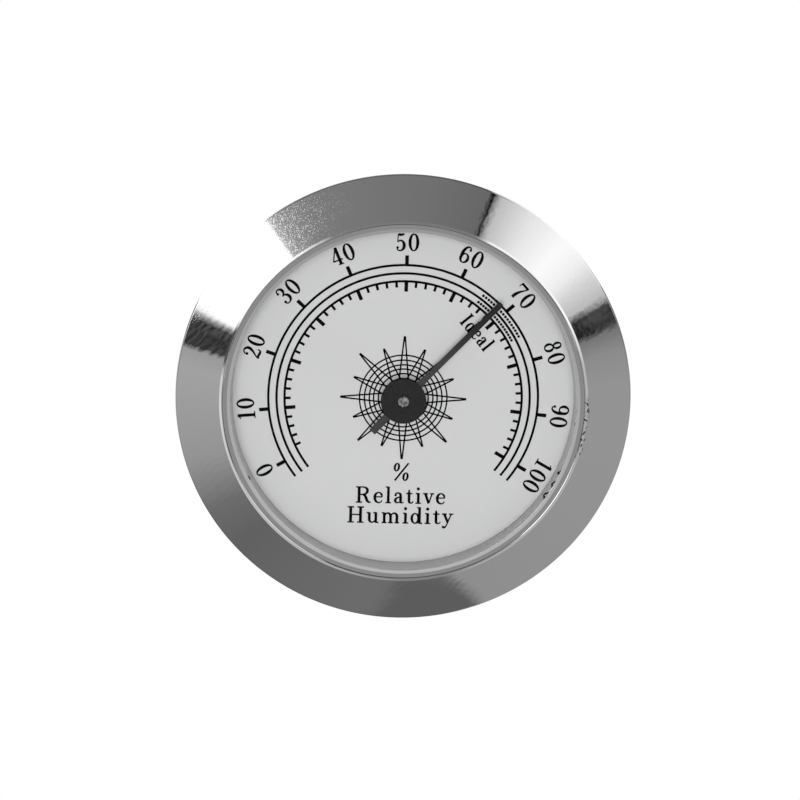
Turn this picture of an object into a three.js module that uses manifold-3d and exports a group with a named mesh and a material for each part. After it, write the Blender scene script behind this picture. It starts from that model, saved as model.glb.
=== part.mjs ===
// Dial hygrometer that drops into a round hole in a panel, such as a cabinet door or a box lid.
//
// Frame, in millimetres: +Z points to 12 o'clock on the dial and +X to 3 o'clock. +Y runs along the
// dial's axis, from the reader into the panel. The origin is on that axis, in the plane of the
// flange's flat seat, so everything in front of the panel has a negative y.
//
// The pieces fall into three moving groups: the case, the regulator (the calibration screw and what
// turns with it) and the pointer on its arbor.

import * as THREE from "three";
import { mergeVertices } from "three/addons/utils/BufferGeometryUtils.js";
import Module from "manifold-3d";

// ---- Driving dimensions (mm) -------------------------------------------------------------------

const OUTER_RADIUS = 25;
const BARREL_RADIUS = 20.5;
const BORE_RADIUS = 19.8; // inside of the trim ring's sleeve and of its lip
const CASE_RADIUS = 19.4; // what the lens rim's skirt wraps: lens, reflector, dial and cup mouth
const WINDOW_RADIUS = 18.95; // inside of the lens rim
const DIAL_EDGE_RADIUS = 18.8; // where the flared reflector meets the dial
const SLIP = 0.08; // radial gap between coaxial pieces that stay together
const FACE_GAP = 0.02; // axial gap between faces that rest on each other

const LIP_FRONT = -2.25; // foremost point of the instrument
const RIM_FRONT = -0.3; // widest point of the flange
const CONE_FOOT = -0.52; // outer edge of the flange's conical face
const LENS_FRONT = -1.9;
const LENS_THICKNESS = 0.6;
const DIAL_FRONT = 0.9;
const DIAL_THICKNESS = 0.4;
const DIAL_HOLE_RADIUS = 1.5;
const SLEEVE_BACK = 6;
const SKIRT_BACK = 2.5;
const CASE_BACK = 9.5; // rearmost plane of the instrument
const FLOOR_THICKNESS = 0.6;
const CUP_WALL = 0.5;

const BRIDGE_FRONT = 2;
const BRIDGE_THICKNESS = 0.6;
const BRIDGE_WIDTH = 6;
const PILLAR_DISTANCE = 12; // from the dial's axis
const PILLAR_RADIUS = 1.5;
const RIVET_RADIUS = 0.8;
const SCREW_SHANK_RADIUS = 0.6;

const ARBOR_RADIUS = 0.6;
const PIVOT_RADIUS = 0.3;
const BUSH_RADIUS = 1.3;
const RUNNING_GAP = 0.05; // radial gap of a turning shaft in its hole
const ARBOR_FRONT = -1.15;
const HUB_RADIUS = 2.5;
const HUB_FRONT = -0.9;
const HUB_THICKNESS = 0.28;
const POINTER_FRONT = -0.6;
const POINTER_THICKNESS = 0.24;
const POINTER_LENGTH = 15.2; // from the axis
const POINTER_WIDTH = 0.62;
const TAIL_LENGTH = 4.9;
const TAIL_WIDTH = 0.82;
const BOSS_RADIUS = 1.1; // tube that carries the pointer

const SCALE_SWEEP_DEG = 240; // from 0 to 100, with 50 at 12 o'clock
const READING = 68; // what the pointer shows at rest, in percent
const READING_DEG = (READING / 100 - 0.5) * SCALE_SWEEP_DEG;

const COLLET_RADIUS = 1.3;
const COIL_OUTER_RADIUS = 8.6;
const COIL_TURNS = 6.25;
const COIL_STRIP = 0.18;
const COIL_FRONT = 4.2;
const COIL_BACK = 6.4;
const STUD_DISTANCE = 9.25;
const ARM_FRONT = 7.2;
const ARM_THICKNESS = 0.5;
const ADJUSTER_RADIUS = 1.8;
const ADJUSTER_HEAD_RADIUS = 2.6;
const NECK_RADIUS = 1.2;
const CUP_BOSS_FRONT = 8; // inner boss of the cup, where the adjuster turns
const RECESS_FLOOR = 8.72; // the adjuster's head sits behind this plane
const VENT_COUNT = 6;
const VENT_RADIUS = 11.5;
const VENT_WIDTH = 2.4;
const VENT_HALF_ANGLE = 14;

const RING_SEGMENTS = 64;
const SMALL_SEGMENTS = 16;
const SCREW_SEGMENTS = 32;
const CURVE_SEGMENTS = 8; // steps along each arc of a flat outline
const CUTTER_DEPTH = 3; // of the tools that go through the cup's floor
const DEGREE = Math.PI / 180;

// Planes and radii that follow from the driving dimensions.
const LENS_BACK = LENS_FRONT + LENS_THICKNESS;
const DIAL_BACK = DIAL_FRONT + DIAL_THICKNESS;
const FLOOR_FRONT = CASE_BACK - FLOOR_THICKNESS;
const BRIDGE_BACK = BRIDGE_FRONT + BRIDGE_THICKNESS;
const ARM_BACK = ARM_FRONT + ARM_THICKNESS;
const POINTER_BACK = POINTER_FRONT + POINTER_THICKNESS;
const SKIRT_RADIUS = BORE_RADIUS - SLIP; // outside of the lens rim's skirt and of the cup
const EYE_RADIUS = ARBOR_RADIUS + FACE_GAP; // hole of a piece pressed on the arbor

// ---- Materials ---------------------------------------------------------------------------------

const finish = (color, roughness, metalness, extra = {}) =>
  new THREE.MeshStandardMaterial({ color, roughness, metalness, ...extra });

const chrome = finish(0xd2d4d6, 0.08, 1);
const polishedSteel = finish(0xc4c6c8, 0.18, 1);
const glass = finish(0xf4f8f8, 0.03, 0, { transparent: true, opacity: 0.2 });
const satinDial = finish(0xcacaca, 0.42, 0.6);
const charcoal = finish(0x3c3c3c, 0.6, 0.3);
const zincPlate = finish(0xb4b6b4, 0.35, 1);
const brass = finish(0xb79a55, 0.3, 1);
const coilStrip = finish(0x8d7a5c, 0.45, 0.7);

// ---- Shape helpers -----------------------------------------------------------------------------

// A piece turned about the dial's axis from [radius, y] points, listed from the front outwards.
function turned(profile, segments = RING_SEGMENTS) {
  const points = profile.map(([radius, y]) => new THREE.Vector2(radius, y));
  const closed = profile[0][0] > 0 ? [...points, points[0]] : points;
  return new THREE.LatheGeometry(closed, segments);
}

// A ring with a rectangular section.
function ring(inner, outer, front, back, segments = RING_SEGMENTS) {
  return turned([[inner, front], [outer, front], [outer, back], [inner, back]], segments);
}

// A flat piece between two planes. The shape's x and y become the frame's x and z.
function plate(shape, front, back) {
  const geometry = new THREE.ExtrudeGeometry(shape, {
    depth: back - front,
    bevelEnabled: false,
    curveSegments: CURVE_SEGMENTS,
  });
  return geometry.rotateX(Math.PI / 2).translate(0, back, 0);
}

function circle(radius, x = 0, z = 0) {
  return new THREE.Path().absarc(x, z, radius, 0, 2 * Math.PI, false);
}

const wasm = await Module();
wasm.setup();

function toSolid(geometry) {
  const bare = geometry.index ? geometry.toNonIndexed() : geometry.clone();
  bare.deleteAttribute("normal");
  bare.deleteAttribute("uv");
  const merged = mergeVertices(bare, 1e-4);
  const mesh = new wasm.Mesh({
    numProp: 3,
    vertProperties: merged.attributes.position.array,
    triVerts: new Uint32Array(merged.index.array),
  });
  return new wasm.Manifold(mesh);
}

function cut(geometry, ...tools) {
  let solid = toSolid(geometry);
  for (const tool of tools) solid = solid.subtract(toSolid(tool));
  const mesh = solid.getMesh();
  const result = new THREE.BufferGeometry();
  result.setAttribute("position", new THREE.BufferAttribute(mesh.vertProperties, 3));
  result.setIndex(new THREE.BufferAttribute(mesh.triVerts, 1));
  result.computeVertexNormals();
  return result;
}

const hygrometer = new THREE.Group();

function piece(name, geometry, material) {
  const mesh = new THREE.Mesh(geometry, material);
  mesh.name = name;
  hygrometer.add(mesh);
  return mesh;
}

// ---- Case: trim ring, glazing and dial ---------------------------------------------------------

// Chromed flange with a conical face, and the sleeve that goes into the panel.
function trimRing() {
  return turned([
    [BORE_RADIUS, LIP_FRONT + 0.12],
    [BORE_RADIUS + 0.03, LIP_FRONT + 0.03],
    [BORE_RADIUS + 0.1, LIP_FRONT],
    [BORE_RADIUS + 0.38, LIP_FRONT + 0.07],
    [OUTER_RADIUS - 0.35, CONE_FOOT],
    [OUTER_RADIUS - 0.08, CONE_FOOT + 0.1],
    [OUTER_RADIUS, RIM_FRONT],
    [OUTER_RADIUS - 0.06, -0.1],
    [OUTER_RADIUS - 0.25, 0],
    [BARREL_RADIUS, 0],
    [BARREL_RADIUS, SLEEVE_BACK - 0.3],
    [BARREL_RADIUS - 0.25, SLEEVE_BACK],
    [BORE_RADIUS, SLEEVE_BACK],
  ]);
}

// Narrow bezel that clamps the lens: flat beside the window, sloping outwards to the gap, with a
// thin skirt that wraps the pieces behind it down to the cup's mouth.
function lensRim() {
  const outer = SKIRT_RADIUS;
  const inner = CASE_RADIUS + SLIP / 2;
  const front = LIP_FRONT + 0.05;
  return turned([
    [WINDOW_RADIUS, front + 0.05],
    [WINDOW_RADIUS + 0.05, front],
    [WINDOW_RADIUS + 0.35, front],
    [outer - 0.05, front + 0.22],
    [outer, front + 0.3],
    [outer, SKIRT_BACK],
    [inner, SKIRT_BACK],
    [inner, LENS_FRONT - FACE_GAP],
    [WINDOW_RADIUS, LENS_FRONT - FACE_GAP],
  ]);
}

function lens() {
  const back = LENS_BACK;
  const chamfer = 0.12;
  return turned([
    [0, LENS_FRONT],
    [CASE_RADIUS - chamfer, LENS_FRONT],
    [CASE_RADIUS, LENS_FRONT + chamfer],
    [CASE_RADIUS, back - chamfer],
    [CASE_RADIUS - chamfer, back],
    [0, back],
  ]);
}

// Polished spacer between the lens and the dial, slightly wider at the lens.
function reflectorRing() {
  const front = LENS_BACK + FACE_GAP;
  const back = DIAL_FRONT - FACE_GAP;
  return turned([
    [WINDOW_RADIUS, front],
    [CASE_RADIUS, front],
    [CASE_RADIUS, back],
    [DIAL_EDGE_RADIUS, back],
  ]);
}

piece("trim_ring", trimRing(), chrome);
piece("lens_rim", lensRim(), chrome);
piece("lens", lens(), glass);
piece("reflector_ring", reflectorRing(), chrome);
piece("dial_plate", ring(DIAL_HOLE_RADIUS, CASE_RADIUS, DIAL_FRONT, DIAL_BACK), satinDial);

// ---- Case: cup with vents ----------------------------------------------------------------------

// One curved slot with round ends, centred on the given angle from 3 o'clock.
function ventShape(centreAngle) {
  const start = centreAngle - VENT_HALF_ANGLE * DEGREE;
  const end = centreAngle + VENT_HALF_ANGLE * DEGREE;
  const half = VENT_WIDTH / 2;
  const slot = new THREE.Shape();
  slot.absarc(0, 0, VENT_RADIUS + half, start, end, false);
  slot.absarc(VENT_RADIUS * Math.cos(end), VENT_RADIUS * Math.sin(end), half, end, end + Math.PI);
  slot.absarc(0, 0, VENT_RADIUS - half, end, start, true);
  slot.absarc(
    VENT_RADIUS * Math.cos(start),
    VENT_RADIUS * Math.sin(start),
    half,
    start + Math.PI,
    start + 2 * Math.PI,
  );
  return slot;
}

function ventTool(centreAngle) {
  const geometry = new THREE.ExtrudeGeometry(ventShape(centreAngle), {
    depth: CUTTER_DEPTH,
    bevelEnabled: false,
    curveSegments: CURVE_SEGMENTS,
  });
  return geometry.rotateX(Math.PI / 2).translate(0, CASE_BACK + 1, 0);
}

function caseCup() {
  const mouth = DIAL_BACK + FACE_GAP;
  const outer = SKIRT_RADIUS;
  const inner = CASE_RADIUS - CUP_WALL;
  const recess = ADJUSTER_HEAD_RADIUS + 0.3;
  const bore = ADJUSTER_RADIUS + SLIP;
  const boss = bore + 1.9;
  const shell = turned([
    [inner, mouth],
    [CASE_RADIUS, mouth],
    [CASE_RADIUS, SKIRT_BACK + SLIP],
    [outer, SKIRT_BACK + SLIP],
    [outer, CASE_BACK - 0.9],
    [outer - 0.27, CASE_BACK - 0.27],
    [outer - 0.9, CASE_BACK],
    [recess + 0.25, CASE_BACK],
    [recess, CASE_BACK - 0.2],
    [recess, RECESS_FLOOR],
    [bore, RECESS_FLOOR],
    [bore, CUP_BOSS_FRONT],
    [boss, CUP_BOSS_FRONT],
    [boss, FLOOR_FRONT],
    [inner, FLOOR_FRONT],
  ]);
  const vents = Array.from({ length: VENT_COUNT }, (_, i) =>
    ventTool(((i + 0.5) * 2 * Math.PI) / VENT_COUNT),
  );
  const rivetHoles = [-1, 1].map((side) =>
    new THREE.CylinderGeometry(
      RIVET_RADIUS + RUNNING_GAP,
      RIVET_RADIUS + RUNNING_GAP,
      CUTTER_DEPTH,
      SMALL_SEGMENTS,
    ).translate(side * PILLAR_DISTANCE, CASE_BACK, 0),
  );
  return cut(shell, ...vents, ...rivetHoles);
}

piece("case_cup", caseCup(), polishedSteel);

// ---- Case: bridge that carries the front bearing -----------------------------------------------

function bridge() {
  const half = BRIDGE_WIDTH / 2;
  const end = BRIDGE_WIDTH / 3;
  const strip = new THREE.Shape();
  strip.absarc(PILLAR_DISTANCE, 0, end, -Math.PI / 2, Math.PI / 2, false);
  strip.lineTo(half, half);
  strip.lineTo(-half, half);
  strip.absarc(-PILLAR_DISTANCE, 0, end, Math.PI / 2, (3 * Math.PI) / 2, false);
  strip.lineTo(-half, -half);
  strip.lineTo(half, -half);
  strip.holes.push(circle(BUSH_RADIUS + RUNNING_GAP));
  for (const side of [-1, 1])
    strip.holes.push(circle(SCREW_SHANK_RADIUS + 0.1, side * PILLAR_DISTANCE));
  return plate(strip, BRIDGE_FRONT, BRIDGE_BACK);
}

// Threaded post, riveted through the cup's floor.
function pillar() {
  const foot = FLOOR_FRONT - FACE_GAP;
  const bore = SCREW_SHANK_RADIUS + RUNNING_GAP;
  const front = BRIDGE_BACK + FACE_GAP;
  return turned(
    [
      [0, front + 3],
      [bore, front + 3],
      [bore, front],
      [PILLAR_RADIUS, front],
      [PILLAR_RADIUS, foot],
      [RIVET_RADIUS, foot],
      [RIVET_RADIUS, CASE_BACK - 0.12],
      [RIVET_RADIUS - 0.15, CASE_BACK - FACE_GAP],
      [0, CASE_BACK - FACE_GAP],
    ],
    SMALL_SEGMENTS,
  );
}

function bridgeScrew() {
  const headFront = DIAL_BACK + 0.15;
  const headBack = BRIDGE_FRONT - FACE_GAP;
  const headRadius = 1.3;
  const body = turned(
    [
      [0, headFront],
      [headRadius - 0.15, headFront],
      [headRadius, headFront + 0.15],
      [headRadius, headBack],
      [SCREW_SHANK_RADIUS, headBack],
      [SCREW_SHANK_RADIUS, BRIDGE_BACK + 2],
      [SCREW_SHANK_RADIUS - 0.2, BRIDGE_BACK + 2.2],
      [0, BRIDGE_BACK + 2.2],
    ],
    SMALL_SEGMENTS,
  );
  const slotDepth = 0.25;
  const slot = new THREE.BoxGeometry(4, 2 * slotDepth, 0.35).translate(0, headFront, 0);
  return cut(body, slot);
}

function frontBush() {
  const bore = ARBOR_RADIUS + RUNNING_GAP;
  const collar = BUSH_RADIUS + 0.4;
  return turned(
    [
      [bore, BRIDGE_FRONT - 0.3],
      [collar, BRIDGE_FRONT - 0.3],
      [collar, BRIDGE_FRONT - FACE_GAP],
      [BUSH_RADIUS, BRIDGE_FRONT - FACE_GAP],
      [BUSH_RADIUS, BRIDGE_BACK + 0.5],
      [bore, BRIDGE_BACK + 0.5],
    ],
    SMALL_SEGMENTS,
  );
}

piece("bridge", bridge(), brass);
for (const [side, sign] of [["left", -1], ["right", 1]]) {
  piece("pillar_" + side, pillar(), brass).position.x = sign * PILLAR_DISTANCE;
  const screw = piece("bridge_screw_" + side, bridgeScrew(), zincPlate);
  screw.position.x = sign * PILLAR_DISTANCE;
  screw.rotation.y = sign * 35 * DEGREE;
}
piece("front_bush", frontBush(), brass);

// ---- Regulator: calibration screw, arm, stud and washer ----------------------------------------

// Slotted screw that turns in the cup's boss and carries the arbor's rear pivot.
function calibrationScrew() {
  const bore = PIVOT_RADIUS + RUNNING_GAP;
  const headFront = RECESS_FLOOR + 2 * FACE_GAP;
  const headBack = CASE_BACK - 0.12;
  const body = turned(
    [
      [0, ARM_BACK + 0.5],
      [bore, ARM_BACK + 0.5],
      [bore, ARM_FRONT - 0.3],
      [NECK_RADIUS, ARM_FRONT - 0.3],
      [NECK_RADIUS, ARM_BACK + FACE_GAP],
      [ADJUSTER_RADIUS, ARM_BACK + FACE_GAP],
      [ADJUSTER_RADIUS, headFront],
      [ADJUSTER_HEAD_RADIUS, headFront],
      [ADJUSTER_HEAD_RADIUS, headBack - 0.15],
      [ADJUSTER_HEAD_RADIUS - 0.15, headBack],
      [0, headBack],
    ],
    SCREW_SEGMENTS,
  );
  const slotDepth = 0.35;
  const slot = new THREE.BoxGeometry(8, 2 * slotDepth, 0.7).translate(0, headBack, 0);
  return cut(body, slot);
}

// The arm points straight down from the axis to the stud that holds the coil's outer end.
function regulatorArm() {
  const half = 1.1;
  const disc = 2.6;
  const lean = Math.asin(half / disc);
  const outline = new THREE.Shape();
  outline.absarc(0, 0, disc, -Math.PI / 2 + lean, (3 * Math.PI) / 2 - lean, false);
  outline.absarc(0, -STUD_DISTANCE, half, Math.PI, 2 * Math.PI, false);
  outline.holes.push(circle(NECK_RADIUS + RUNNING_GAP));
  return plate(outline, ARM_FRONT, ARM_BACK);
}

function coilStud() {
  const front = COIL_FRONT - 0.2;
  const back = ARM_FRONT - FACE_GAP;
  const stud = new THREE.BoxGeometry(1.2, back - front, 0.9);
  return stud.translate(0, (front + back) / 2, -STUD_DISTANCE);
}

// Three-wave washer that gives the screw its friction.
function springWasher() {
  const wave = 0.05;
  const thickness = 0.14;
  const middle = (ARM_BACK + CUP_BOSS_FRONT) / 2;
  const washer = ring(
    ADJUSTER_RADIUS + SLIP,
    3.2,
    middle - thickness / 2,
    middle + thickness / 2,
    SCREW_SEGMENTS,
  );
  const place = washer.attributes.position;
  for (let i = 0; i < place.count; i++) {
    const turn = Math.atan2(place.getX(i), place.getZ(i));
    place.setY(i, place.getY(i) + wave * Math.cos(3 * turn));
  }
  return washer;
}

// Flat spiral strip, from the collet outwards, ending on the inner face of the stud.
function humidityCoil() {
  const stepsPerTurn = 20;
  const steps = Math.round(COIL_TURNS * stepsPerTurn);
  const inner = COLLET_RADIUS + COIL_STRIP;
  const endAngle = -Math.PI / 2;
  const edge = (offset) =>
    Array.from({ length: steps + 1 }, (_, i) => {
      const angle = endAngle - ((steps - i) / stepsPerTurn) * 2 * Math.PI;
      const radius = inner + ((COIL_OUTER_RADIUS - inner) * i) / steps + offset;
      return new THREE.Vector2(radius * Math.cos(angle), radius * Math.sin(angle));
    });
  const outline = [...edge(COIL_STRIP / 2), ...edge(-COIL_STRIP / 2).reverse()];
  return plate(new THREE.Shape(outline), COIL_FRONT, COIL_BACK);
}

piece("calibration_screw", calibrationScrew(), brass);
piece("regulator_arm", regulatorArm(), zincPlate);
piece("coil_stud", coilStud(), brass);
piece("spring_washer", springWasher(), zincPlate);
piece("humidity_coil", humidityCoil(), coilStrip);

// ---- Pointer on its arbor ----------------------------------------------------------------------

function arbor() {
  const shoulder = ARM_FRONT - 0.6;
  const end = ARM_BACK + 0.3;
  return turned(
    [
      [0, ARBOR_FRONT],
      [ARBOR_RADIUS - 0.08, ARBOR_FRONT],
      [ARBOR_RADIUS, ARBOR_FRONT + 0.08],
      [ARBOR_RADIUS, shoulder],
      [PIVOT_RADIUS, shoulder],
      [PIVOT_RADIUS, end - 0.15],
      [PIVOT_RADIUS - 0.15, end],
      [0, end],
    ],
    SMALL_SEGMENTS,
  );
}

// The needle and its tail as one flat blank, drawn towards 12 o'clock.
function pointer() {
  const eye = 1.9;
  const root = 0.9; // width where the needle leaves the hub
  const needle = POINTER_WIDTH / 2;
  const tail = TAIL_WIDTH / 2;
  const needleLean = Math.asin(root / 2 / eye);
  const tailLean = Math.asin(tail / eye);
  const up = Math.PI / 2;
  const outline = new THREE.Shape();
  outline.moveTo(needle, HUB_RADIUS + 1.2);
  outline.lineTo(needle, POINTER_LENGTH - 0.1);
  outline.lineTo(needle - 0.1, POINTER_LENGTH);
  outline.lineTo(0.1 - needle, POINTER_LENGTH);
  outline.lineTo(-needle, POINTER_LENGTH - 0.1);
  outline.lineTo(-needle, HUB_RADIUS + 1.2);
  outline.absarc(0, 0, eye, up + needleLean, 3 * up - tailLean, false);
  outline.lineTo(-tail, -TAIL_LENGTH);
  outline.lineTo(tail, -TAIL_LENGTH);
  outline.absarc(0, 0, eye, -up + tailLean, up - needleLean, false);
  outline.holes.push(circle(EYE_RADIUS));
  return plate(outline, POINTER_FRONT, POINTER_BACK);
}

// Cap that hides the rivet joint between the pointer and its boss.
function hubDisc() {
  const hole = ARBOR_RADIUS + 0.12;
  const back = HUB_FRONT + HUB_THICKNESS;
  const chamfer = 0.06;
  return turned(
    [
      [hole, HUB_FRONT],
      [HUB_RADIUS - chamfer, HUB_FRONT],
      [HUB_RADIUS, HUB_FRONT + chamfer],
      [HUB_RADIUS, back],
      [hole, back],
    ],
    SCREW_SEGMENTS,
  );
}

piece("arbor", arbor(), polishedSteel);
piece(
  "collet",
  ring(EYE_RADIUS, COLLET_RADIUS, COIL_FRONT - 0.3, COIL_BACK, SMALL_SEGMENTS),
  brass,
);
piece(
  "pointer_boss",
  ring(EYE_RADIUS, BOSS_RADIUS, POINTER_BACK + FACE_GAP, DIAL_BACK + 0.2, SMALL_SEGMENTS),
  brass,
);
piece("pointer", pointer(), charcoal).rotation.y = READING_DEG * DEGREE;
piece("hub_disc", hubDisc(), charcoal);

export default hygrometer;
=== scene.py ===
"""Dial hygrometer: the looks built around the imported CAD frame.

Sizes in this script are in millimetres in the frame's axes (+Z to 12 o'clock, +X to 3 o'clock, +Y away from
the reader) and become metres where a mesh is made. Dial angles run clockwise from 12 o'clock, in degrees.
"""

import math

import bpy
import numpy as np
from mathutils import Matrix, Vector
from mathutils.geometry import tessellate_polygon


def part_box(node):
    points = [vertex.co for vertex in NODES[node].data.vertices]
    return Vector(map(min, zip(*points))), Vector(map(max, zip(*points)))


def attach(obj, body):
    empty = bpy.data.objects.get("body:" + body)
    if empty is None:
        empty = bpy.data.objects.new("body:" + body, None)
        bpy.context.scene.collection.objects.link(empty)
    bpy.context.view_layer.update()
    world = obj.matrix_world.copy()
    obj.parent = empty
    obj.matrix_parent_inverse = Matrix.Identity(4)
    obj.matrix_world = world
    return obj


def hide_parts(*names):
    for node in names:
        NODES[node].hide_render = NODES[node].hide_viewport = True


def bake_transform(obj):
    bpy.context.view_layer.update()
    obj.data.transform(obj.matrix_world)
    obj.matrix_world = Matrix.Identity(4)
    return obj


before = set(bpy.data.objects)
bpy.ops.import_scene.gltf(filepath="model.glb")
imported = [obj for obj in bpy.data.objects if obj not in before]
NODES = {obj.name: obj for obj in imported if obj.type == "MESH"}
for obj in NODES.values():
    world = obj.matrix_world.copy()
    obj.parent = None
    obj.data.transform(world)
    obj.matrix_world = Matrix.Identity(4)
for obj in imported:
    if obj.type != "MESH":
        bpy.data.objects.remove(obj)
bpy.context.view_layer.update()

MM = 0.001  # metres in a millimetre
RING_STEPS = 256  # around the large turned pieces
SMALL_STEPS = 96  # around shafts, screws and bushes
FILLET_STEPS = 4


# ---- Sizes read from the frame -------------------------------------------------------------------


def depths(node):
    """The node's foremost and rearmost y."""
    low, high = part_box(node)
    return low.y / MM, high.y / MM


def radii(node, x=0.0):
    """The node's smallest and largest distance from the axis parallel to y at x."""
    away = [math.hypot(v.co.x / MM - x, v.co.z / MM) for v in NODES[node].data.vertices]
    return min(away), max(away)


BORE_RADIUS, OUTER_RADIUS = radii("trim_ring")
LIP_FRONT, SLEEVE_BACK = depths("trim_ring")
WINDOW_RADIUS, SKIRT_RADIUS = radii("lens_rim")
RIM_FRONT, SKIRT_BACK = depths("lens_rim")
LENS_FRONT, LENS_BACK = depths("lens")
CASE_RADIUS = radii("lens")[1]
DIAL_FRONT = depths("dial_plate")[0]
CUP_FRONT, CASE_BACK = depths("case_cup")
POINTER_LENGTH = radii("pointer")[1]
ARBOR_RADIUS = radii("arbor")[1]
COIL_FRONT, COIL_BACK = depths("humidity_coil")
COLLET_RADIUS = radii("collet")[1]
SCREW_FRONT, SCREW_BACK = depths("calibration_screw")
SCREW_HEAD_RADIUS = radii("calibration_screw")[1]
PILLAR_X = (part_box("pillar_right")[0].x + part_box("pillar_right")[1].x) / 2 / MM
PILLAR_RADIUS = radii("pillar_right", PILLAR_X)[1]
PILLAR_FRONT, PILLAR_BACK = depths("pillar_right")

# Sizes inside a node, which its box doesn't give.
GAP = 0.02  # between faces that rest on each other
SLIP = 0.08  # around a piece that fits inside another
RUNNING_GAP = 0.05  # around a shaft that turns
RIM_EDGE = -0.3  # where the flange is widest
CONE_FOOT = -0.52  # outer edge of the flange's conical face
BARREL_RADIUS = 20.5
LENS_SEAT = LENS_FRONT - GAP
SKIRT_INNER = CASE_RADIUS + SLIP / 2
FLOOR_FRONT = 8.9  # inside of the cup's floor
RECESS_FLOOR = 8.72
CUP_BOSS_FRONT = 8.0
ADJUSTER_RADIUS = 1.8  # the calibration screw's body in the cup's boss
ADJUSTER_SLOT = 0.7  # how wide its screwdriver slot is
ADJUSTER_HEAD_FRONT = RECESS_FLOOR + 2 * GAP
NECK_RADIUS = 1.2  # the part of the calibration screw that carries the arm
NECK_BACK = 7.72
BRIDGE_SEAT = depths("bridge")[0] - GAP  # where heads and collars rest on the bridge
BUSH_RADIUS = 1.3
SCREW_SHANK_RADIUS = 0.6
STUD_DISTANCE = 9.25
PIVOT_RADIUS = 0.3
RIVET_RADIUS = 0.8
VENT_COUNT = 6
VENT_RADIUS = 11.5
VENT_WIDTH = 2.4
VENT_HALF_ANGLE = 14
COIL_OUTER_RADIUS = 8.6
COIL_TURNS = 6.25
COIL_STRIP = 0.18  # thickness
SCALE_SWEEP = 240.0  # from 0 to 100 percent, with 50 at 12 o'clock
READING = 68  # percent, where the pointer rests


# ---- Camera --------------------------------------------------------------------------------------

CAMERA_DISTANCE = 300
CAMERA_AZIMUTH = -1.5
CAMERA_ELEVATION = 13.0
CAMERA_ROLL = 1.55
SENSOR_WIDTH = 36
CAMERA_LENS = 122.8
AIM_LEFT = 0.37  # how far left of the origin the view is centred
AIM_DOWN = 0.065


def make_camera():
    """Places the camera, and gives the direction from the instrument back to it."""
    azimuth, elevation = math.radians(CAMERA_AZIMUTH), math.radians(CAMERA_ELEVATION)
    level = math.cos(elevation)
    back = Vector((math.sin(azimuth) * level, -math.cos(azimuth) * level, math.sin(elevation)))
    turn = back.to_track_quat("Z", "Y").to_matrix() @ Matrix.Rotation(math.radians(CAMERA_ROLL), 3, "Z")
    aim = turn @ Vector((-AIM_LEFT, -AIM_DOWN, 0))
    camera = bpy.data.objects.new("camera", bpy.data.cameras.new("camera"))
    camera.data.lens = CAMERA_LENS
    camera.data.sensor_width = SENSOR_WIDTH
    camera.data.clip_start = 0.01
    camera.data.clip_end = 10
    camera.matrix_world = turn.to_4x4()
    camera.location = (back * CAMERA_DISTANCE + aim) * MM
    bpy.context.scene.collection.objects.link(camera)
    bpy.context.scene.camera = camera
    return back


# ---- Node trees ----------------------------------------------------------------------------------


class Graph:
    """Adds shader nodes to a tree, one call each."""

    def __init__(self, tree):
        self.tree = tree
        tree.nodes.clear()

    def node(self, kind, inputs=None, **settings):
        made = self.tree.nodes.new("ShaderNode" + kind)
        for name, value in settings.items():
            setattr(made, name, value)
        for key, value in (inputs or {}).items():
            if isinstance(value, bpy.types.NodeSocket):
                self.tree.links.new(value, made.inputs[key])
            else:
                made.inputs[key].default_value = value
        return made

    def maths(self, operation, a, b=0.0, c=0.0):
        return self.node("Math", {0: a, 1: b, 2: c}, operation=operation).outputs[0]

    def product(self, a, b):
        return self.maths("MULTIPLY", a, b)

    def dot(self, a, b):
        return self.node("VectorMath", {0: a, 1: b}, operation="DOT_PRODUCT").outputs["Value"]

    def stretched(self, place, factors):
        """The point with each of its coordinates multiplied by a factor."""
        return self.node("VectorMath", {0: place, 1: factors}, operation="MULTIPLY").outputs[0]

    def length(self, vector):
        return self.node("VectorMath", {0: vector}, operation="LENGTH").outputs["Value"]

    def remap(self, value, from_low, from_high, to_low=0.0, to_high=1.0, kind="LINEAR"):
        inputs = {0: value, 1: from_low, 2: from_high, 3: to_low, 4: to_high}
        return self.node("MapRange", inputs, interpolation_type=kind).outputs[0]

    def mix(self, factor, a, b):
        return self.node("Mix", {0: factor, 6: a, 7: b}, data_type="RGBA").outputs[2]

    def grey(self, tone):
        return self.node("CombineColor", {0: tone, 1: tone, 2: tone}).outputs[0]

    def millimetres(self):
        """The surface point in the piece's own space, in millimetres."""
        place = self.node("TexCoord").outputs["Object"]
        return self.node("VectorMath", {0: place, "Scale": 1 / MM}, operation="SCALE").outputs[0]

    def noise(self, place, scale, detail=2.0, roughness=0.5):
        inputs = {"Vector": place, "Scale": scale, "Detail": detail, "Roughness": roughness}
        return self.node("TexNoise", inputs).outputs[0]

    def rings(self, place, pitch):
        """Concentric tool marks around the dial's axis, with the given pitch in millimetres."""
        inputs = {"Vector": place, "Scale": math.pi / 10 / pitch, "Distortion": 0.4, "Detail": 2.0}
        return self.node("TexWave", inputs, wave_type="RINGS", rings_direction="Y").outputs["Fac"]

    def bump(self, height, depth, normal=None):
        """A surface normal from a height of 0 to 1, where 1 stands for depth in millimetres."""
        inputs = {"Height": height, "Distance": depth * MM, "Strength": 1.0}
        if normal is not None:
            inputs["Normal"] = normal
        return self.node("Bump", inputs).outputs[0]


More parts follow.
